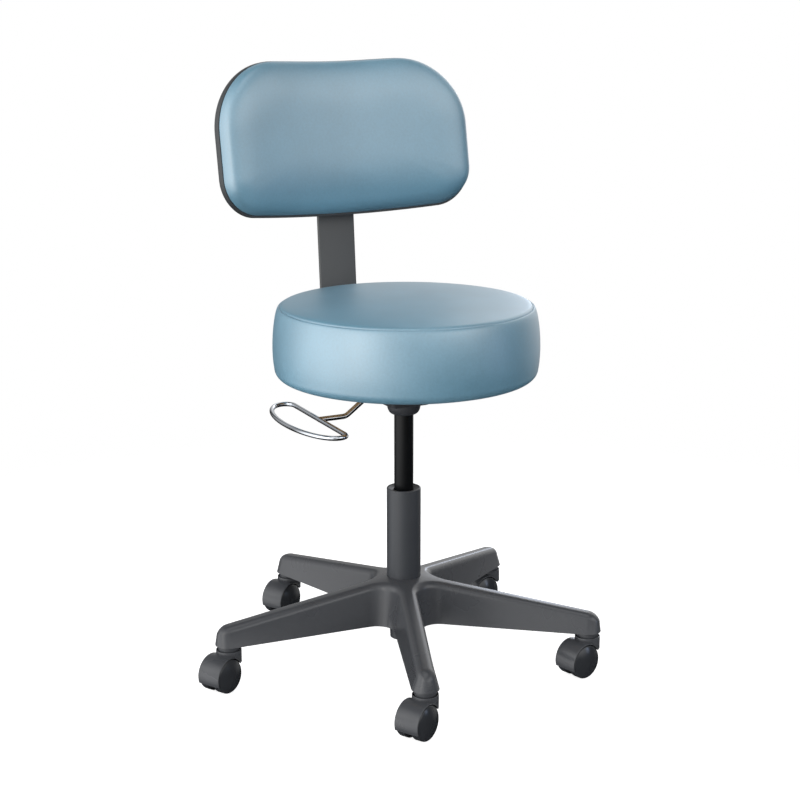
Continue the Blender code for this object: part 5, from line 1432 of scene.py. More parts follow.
@dataclass
class Casters:
    """Five hooded casters with two domed wheels each."""

    count: int = 5
    wheel: float = 50 * MM
    tread: float = 11.5 * MM
    edge: float = 1.6 * MM
    dome: float = 5 * MM
    shoulder: float = 3 * MM
    web: float = 11 * MM
    running_gap: float = 0.4 * MM
    axle_reach: float = 9.5 * MM
    hood_wall: float = 1.9 * MM
    hood_clearance: float = 1.2 * MM
    hood_crown: float = 0.9 * MM
    hood_ground: float = 16 * MM
    collar_radius: float = 18.3 * MM
    collar_recess: float = 4.5 * MM
    collar_length: float = 21 * MM
    neck_gap: float = 1.6 * MM
    neck: float = 31 * MM
    trail: float = 19 * MM
    fit: float = 0.3 * MM
    hood_soft: float = 1.1 * MM
    hood_steps: int = 8
    dome_steps: int = 16
    collar_round: float = 0.6 * MM
    recess_over: float = 2 * MM
    tread_round: float = 0.8 * MM

    def __post_init__(self) -> None:
        """Work out the levels that hood and wheels share."""
        self.inner = self.web / 2 + self.running_gap
        self.hood_inner = self.wheel / 2 + self.hood_clearance
        self.hood_radius = self.hood_inner + self.hood_wall
        self.half_width = self.inner + self.tread + self.edge
        self.collar_top = Box.of("caster_hood_1").high.z

    def along_axle(self, mesh: Mesh) -> Mesh:
        """Turn a solid about Z so that it lies on the axle."""
        turn = Matrix.Rotation(-QUARTER, 4, "X")
        return moved(mesh, Matrix.Translation((-self.trail, 0, self.wheel / 2)) @ turn)

    def well(self) -> list[tuple[float, float]]:
        """Side view of a wheel's room in the hood, open to the front and the ground."""
        radius = self.wheel / 2
        ceiling = self.collar_top - self.collar_length + self.hood_wall
        first = math.degrees(math.asin((ceiling - radius) / self.hood_inner))
        last = 180 + math.degrees(math.asin((radius - self.hood_ground) / self.hood_inner))
        points = arc(-self.trail, radius, self.hood_inner, first, last, 40)
        points += [(points[-1][0], -radius), (3 * radius, -radius), (3 * radius, ceiling)]
        return points

    def hood(self) -> Mesh:
        """The hood: round cover with soft edges, a web between the wheels and a collar for the neck."""
        w = self.half_width
        soft = self.hood_soft
        end = self.hood_radius - self.hood_crown
        profile = [(0, w)] + arc(end - soft, w - soft, soft, 90, 0, 4)
        for i in range(1, self.hood_steps):
            share = 1 - i / self.hood_steps
            profile.append((self.hood_radius - self.hood_crown * share**2, (w - soft) * share))
        profile += [(r, -z) for r, z in reversed(profile)]
        cover = self.along_axle(turned("hood", profile, 96))
        low = self.collar_top - self.collar_length
        soft = self.collar_round
        sleeve = arc(self.collar_radius - soft, self.collar_top - soft, soft, 90, 0, 4)
        collar = turned("collar", [(0, self.collar_top)] + sleeve + [(self.collar_radius, low), (0, low)])
        upright = Matrix.Rotation(QUARTER, 4, "X")
        tools = [("UNION", collar)]
        for side in (1, -1):
            near, far = sorted((side * self.web / 2, side * 2 * w))
            tools.append(("DIFFERENCE", moved(prism("well", self.well(), near, far), upright)))
        reach = 4 * self.wheel
        square = [(-reach, -reach), (reach, -reach), (reach, reach), (-reach, reach)]
        ground = prism("ground", square, -reach, self.hood_ground)
        top = self.collar_top
        room = self.neck / 2 + self.neck_gap
        recess = pin("recess", room, top - self.collar_recess, top + self.recess_over)
        axle = Box.of("caster_axle_1").size.z / 2 + self.fit
        axle_hole = self.along_axle(pin("axle_hole", axle, -self.web, self.web, 24))
        stem = Box.of("caster_stem_1")
        stem_hole = pin("stem_hole", stem.size.x / 2 + self.fit, stem.low.z - self.fit, top, 24)
        tools += [("DIFFERENCE", tool) for tool in (ground, recess, axle_hole, stem_hole)]
        return carved("caster_hood", cover, tools)

    def wheel_mesh(self) -> Mesh:
        """A wheel along +Z: a smooth dome that runs over a round shoulder into the tread."""
        radius = self.wheel / 2
        bore = Box.of("caster_axle_1").size.z / 2 + self.fit
        bore_end = self.web / 2 + self.axle_reach + self.fit
        reach = radius - 0.6 * self.shoulder
        slope = math.atan2(2 * self.dome, reach)
        crown = self.inner + self.tread + self.edge + self.dome
        shares = [i / self.dome_steps for i in range(self.dome_steps + 1)]
        profile = [(reach * s, crown - self.dome * s**2) for s in shares]
        level = profile[-1][1] - self.shoulder * math.cos(slope)
        profile += arc(radius - self.shoulder, level, self.shoulder, 90 - math.degrees(slope), 0, 8)
        soft = self.tread_round
        profile += arc(radius - soft, self.inner + soft, soft, 0, -90, 4)
        profile += [(bore, self.inner), (bore, bore_end), (0, bore_end)]
        return turned("wheel", profile, 80)

    def build(self, finishes: Finishes) -> None:
        """Make the casters, each where its stem is in the part and turned as its axle lies."""
        hood = self.hood()
        left = self.along_axle(self.wheel_mesh())
        right = self.along_axle(moved(self.wheel_mesh(), Matrix.Rotation(math.pi, 4, "X")))
        for k in range(1, self.count + 1):
            stem = Box.of(f"caster_stem_{k}").centre
            axle = Box.of(f"caster_axle_{k}").centre
            heading = math.atan2(stem.y - axle.y, stem.x - axle.x)
            place = Matrix.Translation((stem.x, stem.y, 0)) @ Matrix.Rotation(heading, 4, "Z")
            shape = moved(hood.copy(), place)
            finishes.piece(f"hood_{k}", shape, f"caster_{k}", Slot.NYLON, (f"caster_hood_{k}",))
            for side, mesh in (("left", left), ("right", right)):
                wheel = f"wheel_{side}_{k}"
                finishes.piece(wheel, moved(mesh.copy(), place), wheel, Slot.WHEEL, (f"caster_{wheel}",))
            finishes.coat(Slot.ZINC, f"caster_stem_{k}", f"caster_axle_{k}")


def bend(before: Vector, corner: Vector, after: Vector, radius: float, steps: int = 12) -> list[Vector]:
    """Points of the arc that rounds a corner of a path.

    Args:
        before: A point of the path before the corner.
        corner: The corner.
        after: A point of the path after it.
        radius: Radius of the arc.
        steps: Number of chords.

    Returns:
        The arc's points.
    """
    back = (before - corner).normalized()
    on = (after - corner).normalized()
    half = back.angle(on) / 2
    setback = radius / math.tan(half)
    centre = corner + (back + on).normalized() * (radius / math.sin(half))
    start = corner + back * setback - centre
    end = corner + on * setback - centre
    sweep = math.pi - 2 * half
    points = []
    for i in range(steps + 1):
        t = sweep * i / steps
        spoke = start * math.sin(sweep - t) + end * math.sin(t)
        points.append(centre + spoke / math.sin(sweep))
    return points


@dataclass
class ReleaseLever:
    """The chromed wire lever: a D-shaped grip welded to a cranked stem."""

    stem_wire: float = 7.6 * MM
    loop_wire: float = 6.8 * MM
    below_seat: float = 16 * MM
    drop: float = 35.5 * MM
    tongue: float = 2 * MM
    pivot_out: float = 18 * MM
    knee_out: float = 44.5 * MM
    elbow_out: float = 93.5 * MM
    bend_radius: float = 16 * MM
    loop_out: float = 135.5 * MM
    loop_reach: float = 54 * MM
    loop_half: float = 106 * MM
    loop_corner: float = 14 * MM
    loop_toe: float = 2.5
    weld: float = 1 * MM
    block: float = 13 * MM
    block_corner: float = 2 * MM
    block_edge: float = 1 * MM
    pin_share: float = 0.7
    corner_steps: int = 8
    bow_steps: int = 48
    facets: int = 28

    def loop(self, level: float) -> list[Vector]:
        """The closed D of the grip: a straight bar, two corners and half an ellipse, toed out."""
        outer = self.loop_reach - self.loop_corner
        straight = self.loop_half - self.loop_corner
        steps = self.corner_steps
        corner = arc(-self.loop_corner, straight, self.loop_corner, 0, 90, steps)
        points = [Vector((0, straight * (i / steps - 1))) for i in range(2 * steps + 1)]
        points += [Vector(p) for p in corner[1:]]
        for i in range(1, self.bow_steps):
            angle = math.pi * i / self.bow_steps
            out = -self.loop_corner - outer * math.sin(angle)
            points.append(Vector((out, self.loop_half * math.cos(angle))))
        points += [Vector((x, -y)) for x, y in reversed(corner[1:])]
        turn = Matrix.Rotation(-math.radians(self.loop_toe), 2)
        toed = [turn @ p for p in points]
        return [Vector((p.x - self.loop_out, p.y, level)) for p in toed]

    def build(self, finishes: Finishes, recipe: WireRecipe) -> None:
        """Make the lever as one welded piece."""
        high = Box.of("seat_cushion").low.z - self.below_seat
        low = high - self.drop
        tongue = Vector((self.tongue, 0, high))
        knee = Vector((-self.knee_out, 0, high))
        elbow = Vector((-self.elbow_out, 0, low))
        end = Vector((-self.loop_out - self.weld, 0, low))
        path = [tongue, Vector((-self.pivot_out, 0, high))]
        path += bend(tongue, knee, elbow, self.bend_radius) + bend(knee, elbow, end, self.bend_radius)
        path.append(end)
        settings = {"Facets": self.facets, "Finish": finishes[Slot.CHROME]}
        stem = recipe.grow(path_mesh(path, False), {"Wire Diameter": self.stem_wire, **settings})
        loop = recipe.grow(path_mesh(self.loop(low), True), {"Wire Diameter": self.loop_wire, **settings})
        half = self.block / 2
        pivot = Matrix.Translation((-self.pivot_out, 0, high))
        square = rounded_rectangle(self.block, self.block, self.block_corner)
        hub = moved(softened(prism("hub", square, -half, half), self.block_edge), pivot)
        radius = self.pin_share * Box.of("lever_pin").size.z / 2
        bore = moved(pin("bore", radius, -2 * half, 2 * half, 24), pivot @ Matrix.Rotation(QUARTER, 4, "X"))
        mesh = carved("lever", loop, [("UNION", stem), ("UNION", hub), ("DIFFERENCE", bore)])
        finishes.piece("wire_lever", mesh, "lever", Slot.CHROME, ("release_lever",), 50)


@dataclass
class BackBar:
    """The flat bar under the seat and up behind it, the channel that it slides in, and both knobs."""

    thickness: float = 6 * MM
    lean: float = 4.4
    behind: float = 218.5 * MM
    behind_height: float = 585 * MM
    bend_radius: float = 26 * MM
    below_seat: float = 7.5 * MM
    edge: float = 1 * MM
    running_gap: float = 0.4 * MM
    channel_wall: float = 2.5 * MM
    flange: float = 20 * MM
    knob: float = 38 * MM
    knob_height: float = 20 * MM
    knob_neck: float = 18 * MM
    neck_length: float = 5 * MM
    stud: float = 8 * MM
    lobes: int = 6
    lobe_depth: float = 2.2 * MM
    channel_edge: float = 0.9 * MM
    knob_round: float = 2.4 * MM
    dish: float = 23.56 * MM
    dish_floor: float = 21.28 * MM
    dish_depth: float = 0.9 * MM
    knob_stand: float = 5.3 * MM
    stud_gap: float = 0.3 * MM

    def __post_init__(self) -> None:
        """Take the bar's reach from the part."""
        self.box = Box.of("back_bar")
        self.channel = Box.of("bar_channel")
        self.level = Box.of("seat_cushion").low.z - self.below_seat
        tilt = math.radians(self.lean)
        self.up = Vector((0, math.sin(tilt), math.cos(tilt)))
        self.rear = Vector((0, math.cos(tilt), -math.sin(tilt)))

    def point(self, height: float) -> Vector:
        """Middle of the upright's thickness at a height."""
        slope = math.tan(math.radians(self.lean))
        return Vector((0, self.behind + (height - self.behind_height) * slope, height))

    def place(self, height: float) -> Matrix:
        """Placement on the upright: X across, Y to the rear, Z up the bar."""
        turn = Matrix((Vector((1, 0, 0)), self.rear, self.up)).transposed().to_4x4()
        return Matrix.Translation(self.point(height)) @ turn

    def bar_mesh(self) -> Mesh:
        """The bar, bent once, with rolled edges and a rounded top."""
        half = self.thickness / 2
        width = self.box.size.x
        front = Vector((0, self.box.low.y, self.level))
        corner = self.point(self.level)
        top = self.point(self.box.high.z - half * self.rear.z)
        arm_normal = Vector((0, 0, 1))
        mitre = (arm_normal - self.rear).normalized()
        reach = half / mitre.dot(arm_normal)
        edges = []
        for side, radius in ((1, self.bend_radius), (-1, self.bend_radius + self.thickness)):
            start = front + arm_normal * (side * half)
            end = top - self.rear * (side * half)
            path = [start] + bend(start, corner + mitre * (side * reach), end, radius, 20)
            edges.append(path + [end])
        outline = edges[0] + edges[1][::-1]
        rings = [[Vector((x, p.y, p.z)) for p in outline] for x in (-width / 2, width / 2)]
        return softened(skin("back_bar", rings), self.edge)

    def channel_mesh(self) -> Mesh:
        """The hat-shaped channel with bent corners."""
        inner = self.box.size.x / 2 + self.running_gap
        outer = inner + self.channel_wall
        edge = outer + self.flange
        top = self.channel.high.z
        flange = top - self.channel_wall
        floor_top = self.level - self.thickness / 2 - self.running_gap
        floor = self.channel.low.z
        half = [(inner, floor_top), (inner, top), (edge, top)]
        half += [(edge, flange), (outer, flange), (outer, floor)]
        outline = half + [(-x, z) for x, z in reversed(half)]
        rings = [[Vector((x, y, z)) for x, z in outline] for y in (self.channel.low.y, self.channel.high.y)]
        return softened(skin("channel", rings), self.channel_edge)

    def knob_mesh(self, neck_top: float, stud_tip: float) -> Mesh:
        """A lobed clamping knob about Z, measured from the top of its neck, with its stud above."""
        steps = 24 * self.lobes
        top = neck_top - self.neck_length
        low = top - self.knob_height
        soft = self.knob_round
        dish = low + self.dish_depth
        levels = arc(self.knob / 2 - soft, top - soft, soft, 90, 0, 5)
        levels += arc(self.knob / 2 - soft, low + soft, soft, 0, -90, 5)
        levels += [(self.dish / 2, low), (self.dish_floor / 2, dish), (0, dish)]
        rings = []
        for radius, z in [(self.knob_neck / 2, top)] + levels:
            share = radius / (self.knob / 2)
            ring = []
            for i in range(steps):
                angle = 2 * math.pi * i / steps
                lobe = self.lobe_depth * (1 - math.cos(self.lobes * angle)) / 2 * share**4
                r = radius - lobe
                ring.append(Vector((r * math.cos(angle), r * math.sin(angle), z)))
            rings.append(ring)
        stud = [(0, stud_tip), (self.stud / 2, stud_tip), (self.stud / 2, neck_top)]
        head = [circle(r, z, steps) for r, z in stud + [(self.knob_neck / 2, neck_top)]]
        return skin("knob", head + rings)

    def build(self, finishes: Finishes) -> None:
        """Make the bar, its channel and the two knobs."""
        finishes.piece("flat_back_bar", self.bar_mesh(), "bar", Slot.BAR, ("back_bar",))
        channel = self.channel_mesh()
        finishes.piece("bar_slide_channel", channel, "seat", Slot.BLACK_STEEL, ("bar_channel",))
        box = Box.of("depth_knob")
        knob = self.knob_mesh(box.low.z + self.knob_height + self.neck_length, box.high.z)
        moved(knob, Matrix.Translation((box.centre.x, box.centre.y, 0)))
        finishes.piece("depth_clamp_knob", knob, "depth_clamp", Slot.BLACK_PLASTIC, ("depth_knob",))
        joint = next(j for j in frame["joints"] if j["name"] == "height_knob_turn")
        half = self.thickness / 2
        knob = self.knob_mesh(-(half + self.running_gap + self.knob_stand), -(half + self.stud_gap))
        moved(knob, self.place(Vector(joint["pos_m"]).z) @ Matrix.Rotation(QUARTER, 4, "X"))
        finishes.piece("height_clamp_knob", knob, "height_clamp", Slot.BLACK_PLASTIC, ("height_knob",))


@dataclass
class Backrest:
    """The padded back: curved shell, pad with rolled edges, sleeve for the bar and its screws."""

    bar: BackBar
    width: float = 418 * MM
    height: float = 222 * MM
    centre_height: float = 757.5 * MM
    stand: float = 9 * MM
    lean: float = 8.5
    curve: float = 735 * MM
    top_corner: float = 103 * MM
    bottom_corner: float = 54 * MM
    bottom_bow: float = 8.5 * MM
    top_dip: float = 1.6 * MM
    top_taper: float = 4 * MM
    pull: float = 2 * MM
    rim_shown: float = 3 * MM
    lower_roll: float = 16 * MM
    rim: float = 12 * MM
    wall: float = 3.5 * MM
    shell_edge: float = 4 * MM
    shell_lip: float = 0.8 * MM
    panel: float = 8 * MM
    held_over: float = 1.5 * MM
    fit: float = 0.3 * MM
    pad: float = 33 * MM
    roll: float = 44 * MM
    roundness: float = 3.6
    crowding: float = 1.6
    drawing_in: float = 2.5
    tuck: float = 2.2 * MM
    sleeve_width: float = 104 * MM
    sleeve_below: float = 98 * MM
    sleeve_above: float = 68 * MM
    sleeve_cover: float = 5 * MM
    sleeve_fall: float = 3.2 * MM
    sleeve_columns: int = 24
    sleeve_rows: int = 12
    sleeve_round: float = 2.2 * MM
    cut_reach: float = 60 * MM
    screw_count: int = 4
    screw_seat: float = 5 * MM
    screw_head: float = 9 * MM
    screw_rim: float = 0.9 * MM
    screw_round: float = 1.8 * MM
    screw_top: float = 2.9 * MM
    cross_length: float = 4.4 * MM
    cross_width: float = 0.9 * MM
    cross_round: float = 0.3 * MM
    cross_floor: float = 1.5 * MM
    corner_steps: int = 22
    edge_steps: int = 22

    def __post_init__(self) -> None:
        """Work out the back's own axes and levels."""
        tilt = math.radians(self.lean)
        self.up = Vector((0, math.sin(tilt), math.cos(tilt)))
        self.front = Vector((0, -math.cos(tilt), math.sin(tilt)))
        self.centre = self.bar.point(self.centre_height) - Vector((0, self.stand, 0))
        self.pad_rear = max(self.rim, self.wall + self.fit + self.panel) + self.fit
        self.screw_numbers = range(1, self.screw_count + 1)

    def point(self, across: float, up: float, depth: float) -> Vector:
        """A point of the curved back: arc length across, height up it, and depth from its rear face."""
        angle = across / self.curve
        radius = self.curve - depth
        forward = self.front * (self.curve - radius * math.cos(angle))
        return self.centre + Vector((radius * math.sin(angle), 0, 0)) + self.up * up + forward

    def outline(self, inset: float, lift: float) -> list[tuple[float, float]]:
        """The back's outline: large top corners, smaller bottom ones, a bowed lower edge and a dipped top.

        Args:
            inset: How far it is moved in.
            lift: How far its lower edge is raised.

        Returns:
            Its points, across and up.
        """
        half_w, half_h = self.width / 2, self.height / 2
        points = []
        top, bottom = self.top_corner, self.bottom_corner
        corners = ((1, 1, top), (-1, 1, top), (-1, -1, bottom), (1, -1, bottom))
        for k, (sx, sy, radius) in enumerate(corners):
            x, y = sx * (half_w - radius), sy * (half_h - radius)
            points += arc(x, y, radius - inset, 90 * k, 90 * (k + 1), self.corner_steps)
            if k in (0, 2):
                level = sy * (half_h - inset)
                points += [(x * (1 - 2 * i / self.edge_steps), level) for i in range(1, self.edge_steps)]
        bowed = []
        for x, y in points:
            upper, lower = max(0.0, y / half_h) ** 2, max(0.0, -y / half_h) ** 2
            bow = self.bottom_bow * (1 - (x / half_w) ** 2) * lower
            dip = self.top_dip * max(0.0, 1 - (2 * x / half_w) ** 2) ** 2 * upper
            taper = 1 - self.top_taper / half_w * upper
            bowed.append((x * taper - self.pull * y / half_h, y - bow - dip + lift * lower**2))
        return bowed

    def ring(self, inset: float, depth: float, share: float = 1.0, lift: float = 0.0) -> list[Vector]:
        """The outline on the curved back, drawn in towards the middle by share."""
        return [self.point(x * share, y * share, depth) for x, y in self.outline(inset, lift)]

    def shell_mesh(self) -> Mesh:
        """The moulded rear tray with a rounded edge."""
        shares = (0.0, 0.2, 0.4, 0.6, 0.8, 1.0)
        e = self.shell_edge
        rings = [self.ring(e, 0, s) for s in shares]
        for i in range(1, 9):
            angle = QUARTER * i / 8
            rings.append(self.ring(e * (1 - math.sin(angle)), e * (1 - math.cos(angle))))
        lip = self.shell_lip
        for inset, below in ((0, lip), (0.25 * lip, 0.25 * lip), (lip, 0)):
            rings.append(self.ring(inset, self.rim - below))
        rings += [self.ring(self.wall, self.rim), self.ring(self.wall, self.wall)]
        rings += [self.ring(self.wall + self.fit, self.wall, s) for s in reversed(shares)]
        return skin("back_shell", rings)

    def pad_rings(self, fine: int) -> list[list[Vector]]:
        """Rings of the pad from the middle of its rear to the middle of its front.

        Args:
            fine: Rings along the rolled edge.

        Returns:
            The rings.
        """
        tuck = self.tuck
        rings = [self.ring(tuck, self.pad_rear, s, self.rim_shown) for s in (0.0, 0.3, 0.6, 0.85, 1.0)]
        for i in range(1, 5):
            angle = QUARTER * i / 5
            depth = self.pad_rear + tuck * (1 - math.cos(angle))
            rings.append(self.ring(tuck * (1 - math.sin(angle)), depth, 1.0, self.rim_shown))
        half = self.height / 2
        for i in range(2 * fine + 1):
            step = (i / (2 * fine)) ** self.crowding
            inset = self.roll * (1 - (1 - step) ** self.drawing_in)
            share = math.cos(QUARTER * step**self.crowding)
            left = (half - inset) * share / half
            rise = max(0.0, 1 - left**self.roundness) ** (1 / self.roundness)
            depth = self.pad_rear + tuck + (self.pad - tuck) * rise
            rings.append(self.ring(inset, depth, share, self.rim_shown + self.lower_roll * rise))
        return rings

    def sleeve_mesh(self) -> Mesh:
        """The moulded sleeve: it follows the shell in front, and has a flat boss with sloping sides."""
        bar = self.bar
        rear = bar.thickness / 2 + bar.running_gap + self.sleeve_cover
        wide, tall = self.sleeve_columns, self.sleeve_rows
        columns = [self.sleeve_width * (i / wide - 0.5) for i in range(wide + 1)]
        length = self.sleeve_below + self.sleeve_above
        rows = [-self.sleeve_below + length * i / tall for i in range(tall + 1)]
        rings = []
        for up in rows:
            front = []
            back = []
            for across in columns:
                spot = self.point(across, up, -self.fit)
                behind = (bar.point(self.centre_height) - spot).dot(bar.rear) + rear
                outside = max(0.0, abs(across) / (self.sleeve_width / 2) - 2 / 3) * 3
                behind -= self.sleeve_fall * outside**1.5
                front.append(spot)
                back.append(spot + bar.rear * behind)
            rings.append(front + back[::-1])
        body = softened(skin("sleeve", rings), self.sleeve_round, 4, 50)
        x = bar.box.size.x / 2 + bar.running_gap
        y = bar.thickness / 2 + bar.running_gap
        opening = [(-x, -y), (x, -y), (x, y), (-x, y)]
        slot = prism("slot", opening, -2 * self.sleeve_below, self.cut_reach)
        moved(slot, bar.place(self.centre_height))
        cutters = []
        for k in self.screw_numbers:
            spot, axis = self.screw_place(k)
            turn = axis.to_track_quat("Z", "Y").to_matrix().to_4x4()
            cut = pin("counterbore", self.screw_head / 2 + self.fit, 0, self.cut_reach, 32)
            cutters.append(moved(cut, Matrix.Translation(spot) @ turn))
        tools = [("DIFFERENCE", slot), ("DIFFERENCE", joined("counterbores", cutters))]
        return carved("sleeve", body, tools)

    def screw_place(self, number: int) -> tuple[Vector, Vector]:
        """Where a screw's head is seated, and the direction in which it faces, to the rear.

        Args:
            number: The screw's number.

        Returns:
            The point and the direction.
        """
        box = Box.of(f"back_screw_{number}")
        angle = box.centre.x / self.curve
        axis = Vector((math.sin(angle), 0, 0)) - self.front * math.cos(angle)
        up = (box.centre - self.centre).dot(self.up)
        across = math.asin(box.centre.x / self.curve) * self.curve
        return self.point(across, up, -self.screw_seat), axis

    def screws(self, finishes: Finishes, recipe: FastenerRecipe) -> None:
        """Pan-head screws with a cross recess, one set on the sleeve."""
        r = self.screw_head / 2
        soft = self.screw_round
        profile = [(0, 0), (r, 0), (r, self.screw_rim)]
        profile += arc(r - soft, self.screw_rim, soft, 0, 80, 6) + [(0, self.screw_top)]
        head = turned("head", profile, 32)
        arm = rounded_rectangle(self.cross_length, self.cross_width, self.cross_round, 3)
        cross = []
        for turn in (0, QUARTER):
            cut = prism("arm", arm, self.cross_floor, 2 * self.screw_top)
            cross.append(("DIFFERENCE", moved(cut, Matrix.Rotation(turn, 4, "Z"))))
        screw = carved("screw", head, cross)
        places = [(*self.screw_place(k), 0.0) for k in self.screw_numbers]
        mesh = recipe.scatter(screw, places, 1.5, 7, finishes[Slot.ZINC])
        nodes = tuple(f"back_screw_{k}" for k in self.screw_numbers)
        finishes.piece("sleeve_screws", mesh, "backrest", Slot.ZINC, nodes)

    def build(self, finishes: Finishes, recipe: FastenerRecipe) -> None:
        """Make the back's pieces."""
        finishes.piece("rear_shell", self.shell_mesh(), "backrest", Slot.SHELL, ("back_shell",), 40)
        form = skin("back_form", self.pad_rings(8))
        rear = self.pad_rear + self.held_over

        def held(p: Vector) -> bool:
            """Whether a point lies on the shell and panel."""
            angle = math.atan2(p.x, self.curve - (p - self.centre).dot(self.front))
            depth = self.curve - (self.curve - (p - self.centre).dot(self.front)) / math.cos(angle)
            return depth < rear

        rings = Filling().cover(form, self.pad_rings(22), held)
        mesh = skin("back_pad", rings)
        pad = finishes.piece("back_pad", mesh, "backrest", Slot.VINYL, ("back_cushion",), 60)
        finishes.piece("bar_sleeve", self.sleeve_mesh(), "backrest", Slot.BLACK_PLASTIC, ("back_sleeve",))
        self.screws(finishes, recipe)
        finishes.coat(Slot.PLYWOOD, "back_panel")


# Studio


@dataclass(frozen=True)
class Softbox:
    """A rectangular soft light that faces the stool."""

    name: str
    place: tuple[float, float, float]
    aim: tuple[float, float, float]
    size: tuple[float, float]
    power: float
    colour: str

    def build(self) -> None:
        """Make the light."""
        light = bpy.data.lights.new(self.name, "AREA")
        light.shape = "RECTANGLE"
        light.size, light.size_y = self.size
        light.energy = self.power
        light.color = srgb(self.colour)[:3]
        lamp = bpy.data.objects.new(self.name, light)
        lamp.location = self.place
        lamp.rotation_euler = (Vector(self.aim) - Vector(self.place)).to_track_quat("-Z", "Y").to_euler()
        bpy.context.scene.collection.objects.link(lamp)


class Rises(Enum):
    """How many degrees up the panels of a bank stand."""

    CEILING = (75,)
    TALL = (34, 10, -14)
    REAR = (32, 5)
    HIGH = (34,)
    MIDDLE = (23,)
    LOW = (-14,)


@dataclass(frozen=True)
class Bank:
    """A column of soft luminous panels: degrees left of the camera, its rises, and its strength."""

    name: str
    turn: float
    rises: Rises
    strength: float


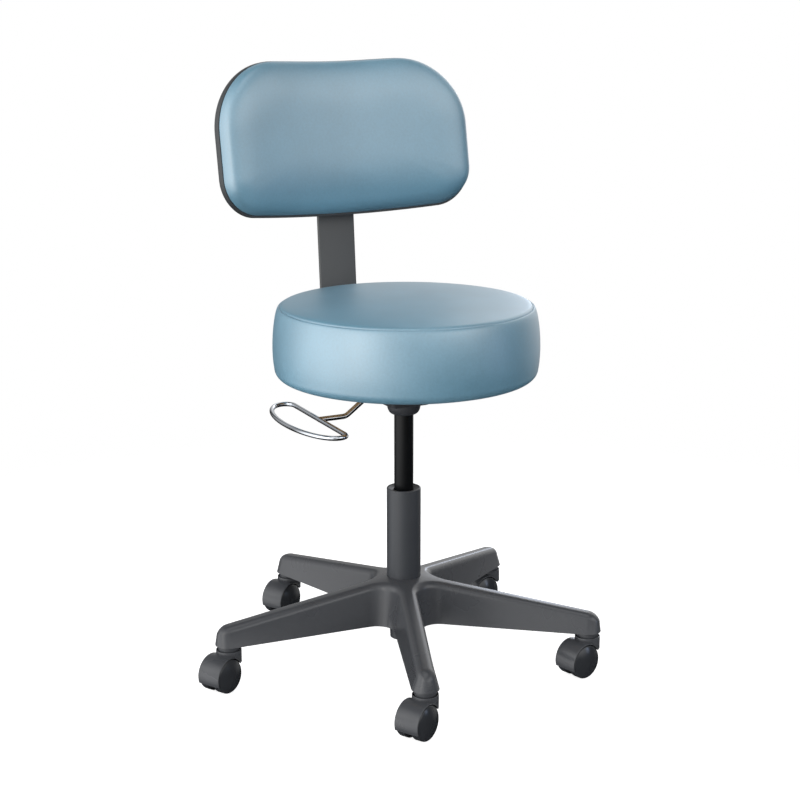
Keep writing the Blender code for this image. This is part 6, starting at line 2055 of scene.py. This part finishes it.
@dataclass
class Studio:
    """A pale floor, soft panels round the stool, a white surround and the camera of the photograph."""

    lens: float = 80.0
    sensor: float = 36.0
    camera_place: tuple[float, float, float] = (-1.1719, -2.2041, 1.0077)
    camera_turn: tuple[float, float, float] = (76.229, 0.0, -27.872)
    floor_solid: float = 0.45
    floor_radius: float = 1.3
    floor_drop: float = 0.3 * MM
    floor_glow: float = 0.8
    floor_colour: str = "F4F4F4"
    panel_core: float = 4.0
    panel_reach: float = 28.0
    banks: tuple[Bank, ...] = (
        Bank("ceiling", 0, Rises.CEILING, 1.3),
        Bank("front", 0, Rises.TALL, 0.3),
        Bank("front left", 30, Rises.TALL, 0.9),
        Bank("left", 60, Rises.TALL, 0.9),
        Bank("left by the floor", 60, Rises.LOW, 0.4),
        Bank("left side", 90, Rises.TALL, 1.0),
        Bank("left rear", 130, Rises.REAR, 0.3),
        Bank("rear", 180, Rises.REAR, 0.4),
        Bank("right rear", -155, Rises.REAR, 0.9),
        Bank("right rear side", -130, Rises.REAR, 0.5),
        Bank("right side", -90, Rises.HIGH, 0.3),
        Bank("right", -60, Rises.MIDDLE, 1.6),
        Bank("front right", -30, Rises.MIDDLE, 1.1),
    )
    softboxes: tuple[Softbox, ...] = (
        Softbox("strip", (-2.0, -0.9, 0.8), (0, 0, 0.4), (0.2, 1.6), 4, "FFFAF2"),
        Softbox("window", (1.58, -1.23, 0.35), (0, 0, 0.1), (0.2, 0.4), 1.2, "C8DCFF"),
        Softbox("rim", (1.7, 1.9, 0.75), (0, 0, 0.3), (0.25, 1.0), 3, "DCE8FF"),
    )

    def camera(self) -> None:
        """Make the camera."""
        data = bpy.data.cameras.new("camera")
        data.lens = self.lens
        data.sensor_width = self.sensor
        camera = bpy.data.objects.new("camera", data)
        camera.location = self.camera_place
        camera.rotation_euler = [math.radians(a) for a in self.camera_turn]
        bpy.context.scene.collection.objects.link(camera)
        bpy.context.scene.camera = camera

    def floor(self) -> None:
        """Make the floor: a disc of backlit white acrylic under the wheels that fades into the surround."""
        material, tree, shader, place = new_material("backlit_white_acrylic")
        reach = add_node(tree, "ShaderNodeVectorMath", {0: place}, operation="LENGTH")
        fade = add_node(
            tree, "ShaderNodeMapRange",
            {
                "Value": reach.outputs["Value"], "From Min": self.floor_solid,
                "From Max": self.floor_radius, "To Min": 1.0, "To Max": 0.0,
            },
            interpolation_type="SMOOTHSTEP",
        )
        tree.links.new(fade.outputs["Result"], shader.inputs["Alpha"])
        shader.inputs["Base Color"].default_value = srgb(self.floor_colour)
        shader.inputs["Roughness"].default_value = 0.8
        shader.inputs["Emission Color"].default_value = srgb("FFFFFF")
        seen = add_node(tree, "ShaderNodeLightPath").outputs["Is Camera Ray"]
        glow = add_node(tree, "ShaderNodeMath", {0: seen, 1: self.floor_glow}, operation="MULTIPLY")
        tree.links.new(glow.outputs[0], shader.inputs["Emission Strength"])
        bm = bmesh.new()
        bmesh.ops.create_circle(bm, cap_ends=True, segments=128, radius=self.floor_radius)
        bmesh.ops.translate(bm, verts=bm.verts, vec=(0, 0, -self.floor_drop))
        mesh = bpy.data.meshes.new("floor")
        bm.to_mesh(mesh)
        bm.free()
        mesh.materials.append(material)
        floor = held_object("floor", mesh)
        floor.visible_glossy = False
        floor.visible_shadow = False

    def surround(self) -> None:
        """Make the world: white to the eye, and a dark room with soft panels to the surfaces."""
        world = bpy.data.worlds.new("studio")
        bpy.context.scene.world = world
        world.use_nodes = True
        tree = world.node_tree
        tree.nodes.clear()
        direction = add_node(tree, "ShaderNodeTexCoord").outputs["Generated"]
        camera = Vector((*self.camera_place[:2], 0)).normalized()
        left = Vector((camera.y, -camera.x, 0))
        near, far = (math.cos(math.radians(a)) for a in (self.panel_core, self.panel_reach))
        glow = 0.0
        for bank, degrees in ((b, d) for b in self.banks for d in b.rises.value):
            turn, rise = math.radians(bank.turn), math.radians(degrees)
            level = camera * math.cos(turn) + left * math.sin(turn)
            axis = level * math.cos(rise) + Vector((0, 0, math.sin(rise)))
            share = add_node(
                tree, "ShaderNodeVectorMath", {0: direction, 1: tuple(axis)},
                operation="DOT_PRODUCT", label=bank.name,
            )
            soft = add_node(
                tree, "ShaderNodeMapRange",
                {
                    "Value": share.outputs["Value"], "From Min": far, "From Max": near,
                    "To Max": bank.strength,
                },
                interpolation_type="SMOOTHSTEP",
            )
            total = add_node(
                tree, "ShaderNodeMath", {0: soft.outputs["Result"], 1: glow}, operation="ADD"
            )
            glow = total.outputs[0]
        room = add_node(tree, "ShaderNodeBackground", {"Strength": glow})
        room.inputs["Color"].default_value = srgb("FFFFFF")
        white = add_node(tree, "ShaderNodeBackground", {"Color": srgb("FFFFFF"), "Strength": 1.0})
        seen = add_node(tree, "ShaderNodeLightPath").outputs["Is Camera Ray"]
        mixed = add_node(tree, "ShaderNodeMixShader", {0: seen, 1: room.outputs[0], 2: white.outputs[0]})
        add_node(tree, "ShaderNodeOutputWorld", {"Surface": mixed.outputs[0]})

    def build(self) -> None:
        """Make the studio."""
        self.camera()
        self.floor()
        self.surround()
        for light in self.softboxes:
            light.build()
        bpy.context.scene.view_settings.view_transform = "Standard"


def main() -> None:
    """Build the stool's pieces in order, then the studio."""
    logging.basicConfig(level=logging.INFO, format="%(name)s: %(message)s")
    finishes = Finishes()
    fasteners = FastenerRecipe()
    bar = BackBar()
    StarBase().build(finishes)
    Casters().build(finishes)
    GasLift().build(finishes)
    ControlHousing().build(finishes)
    Seat().build(finishes, fasteners)
    ReleaseLever().build(finishes, WireRecipe())
    bar.build(finishes)
    Backrest(bar).build(finishes, fasteners)
    Studio().build()


if __name__ == "__main__":
    main()
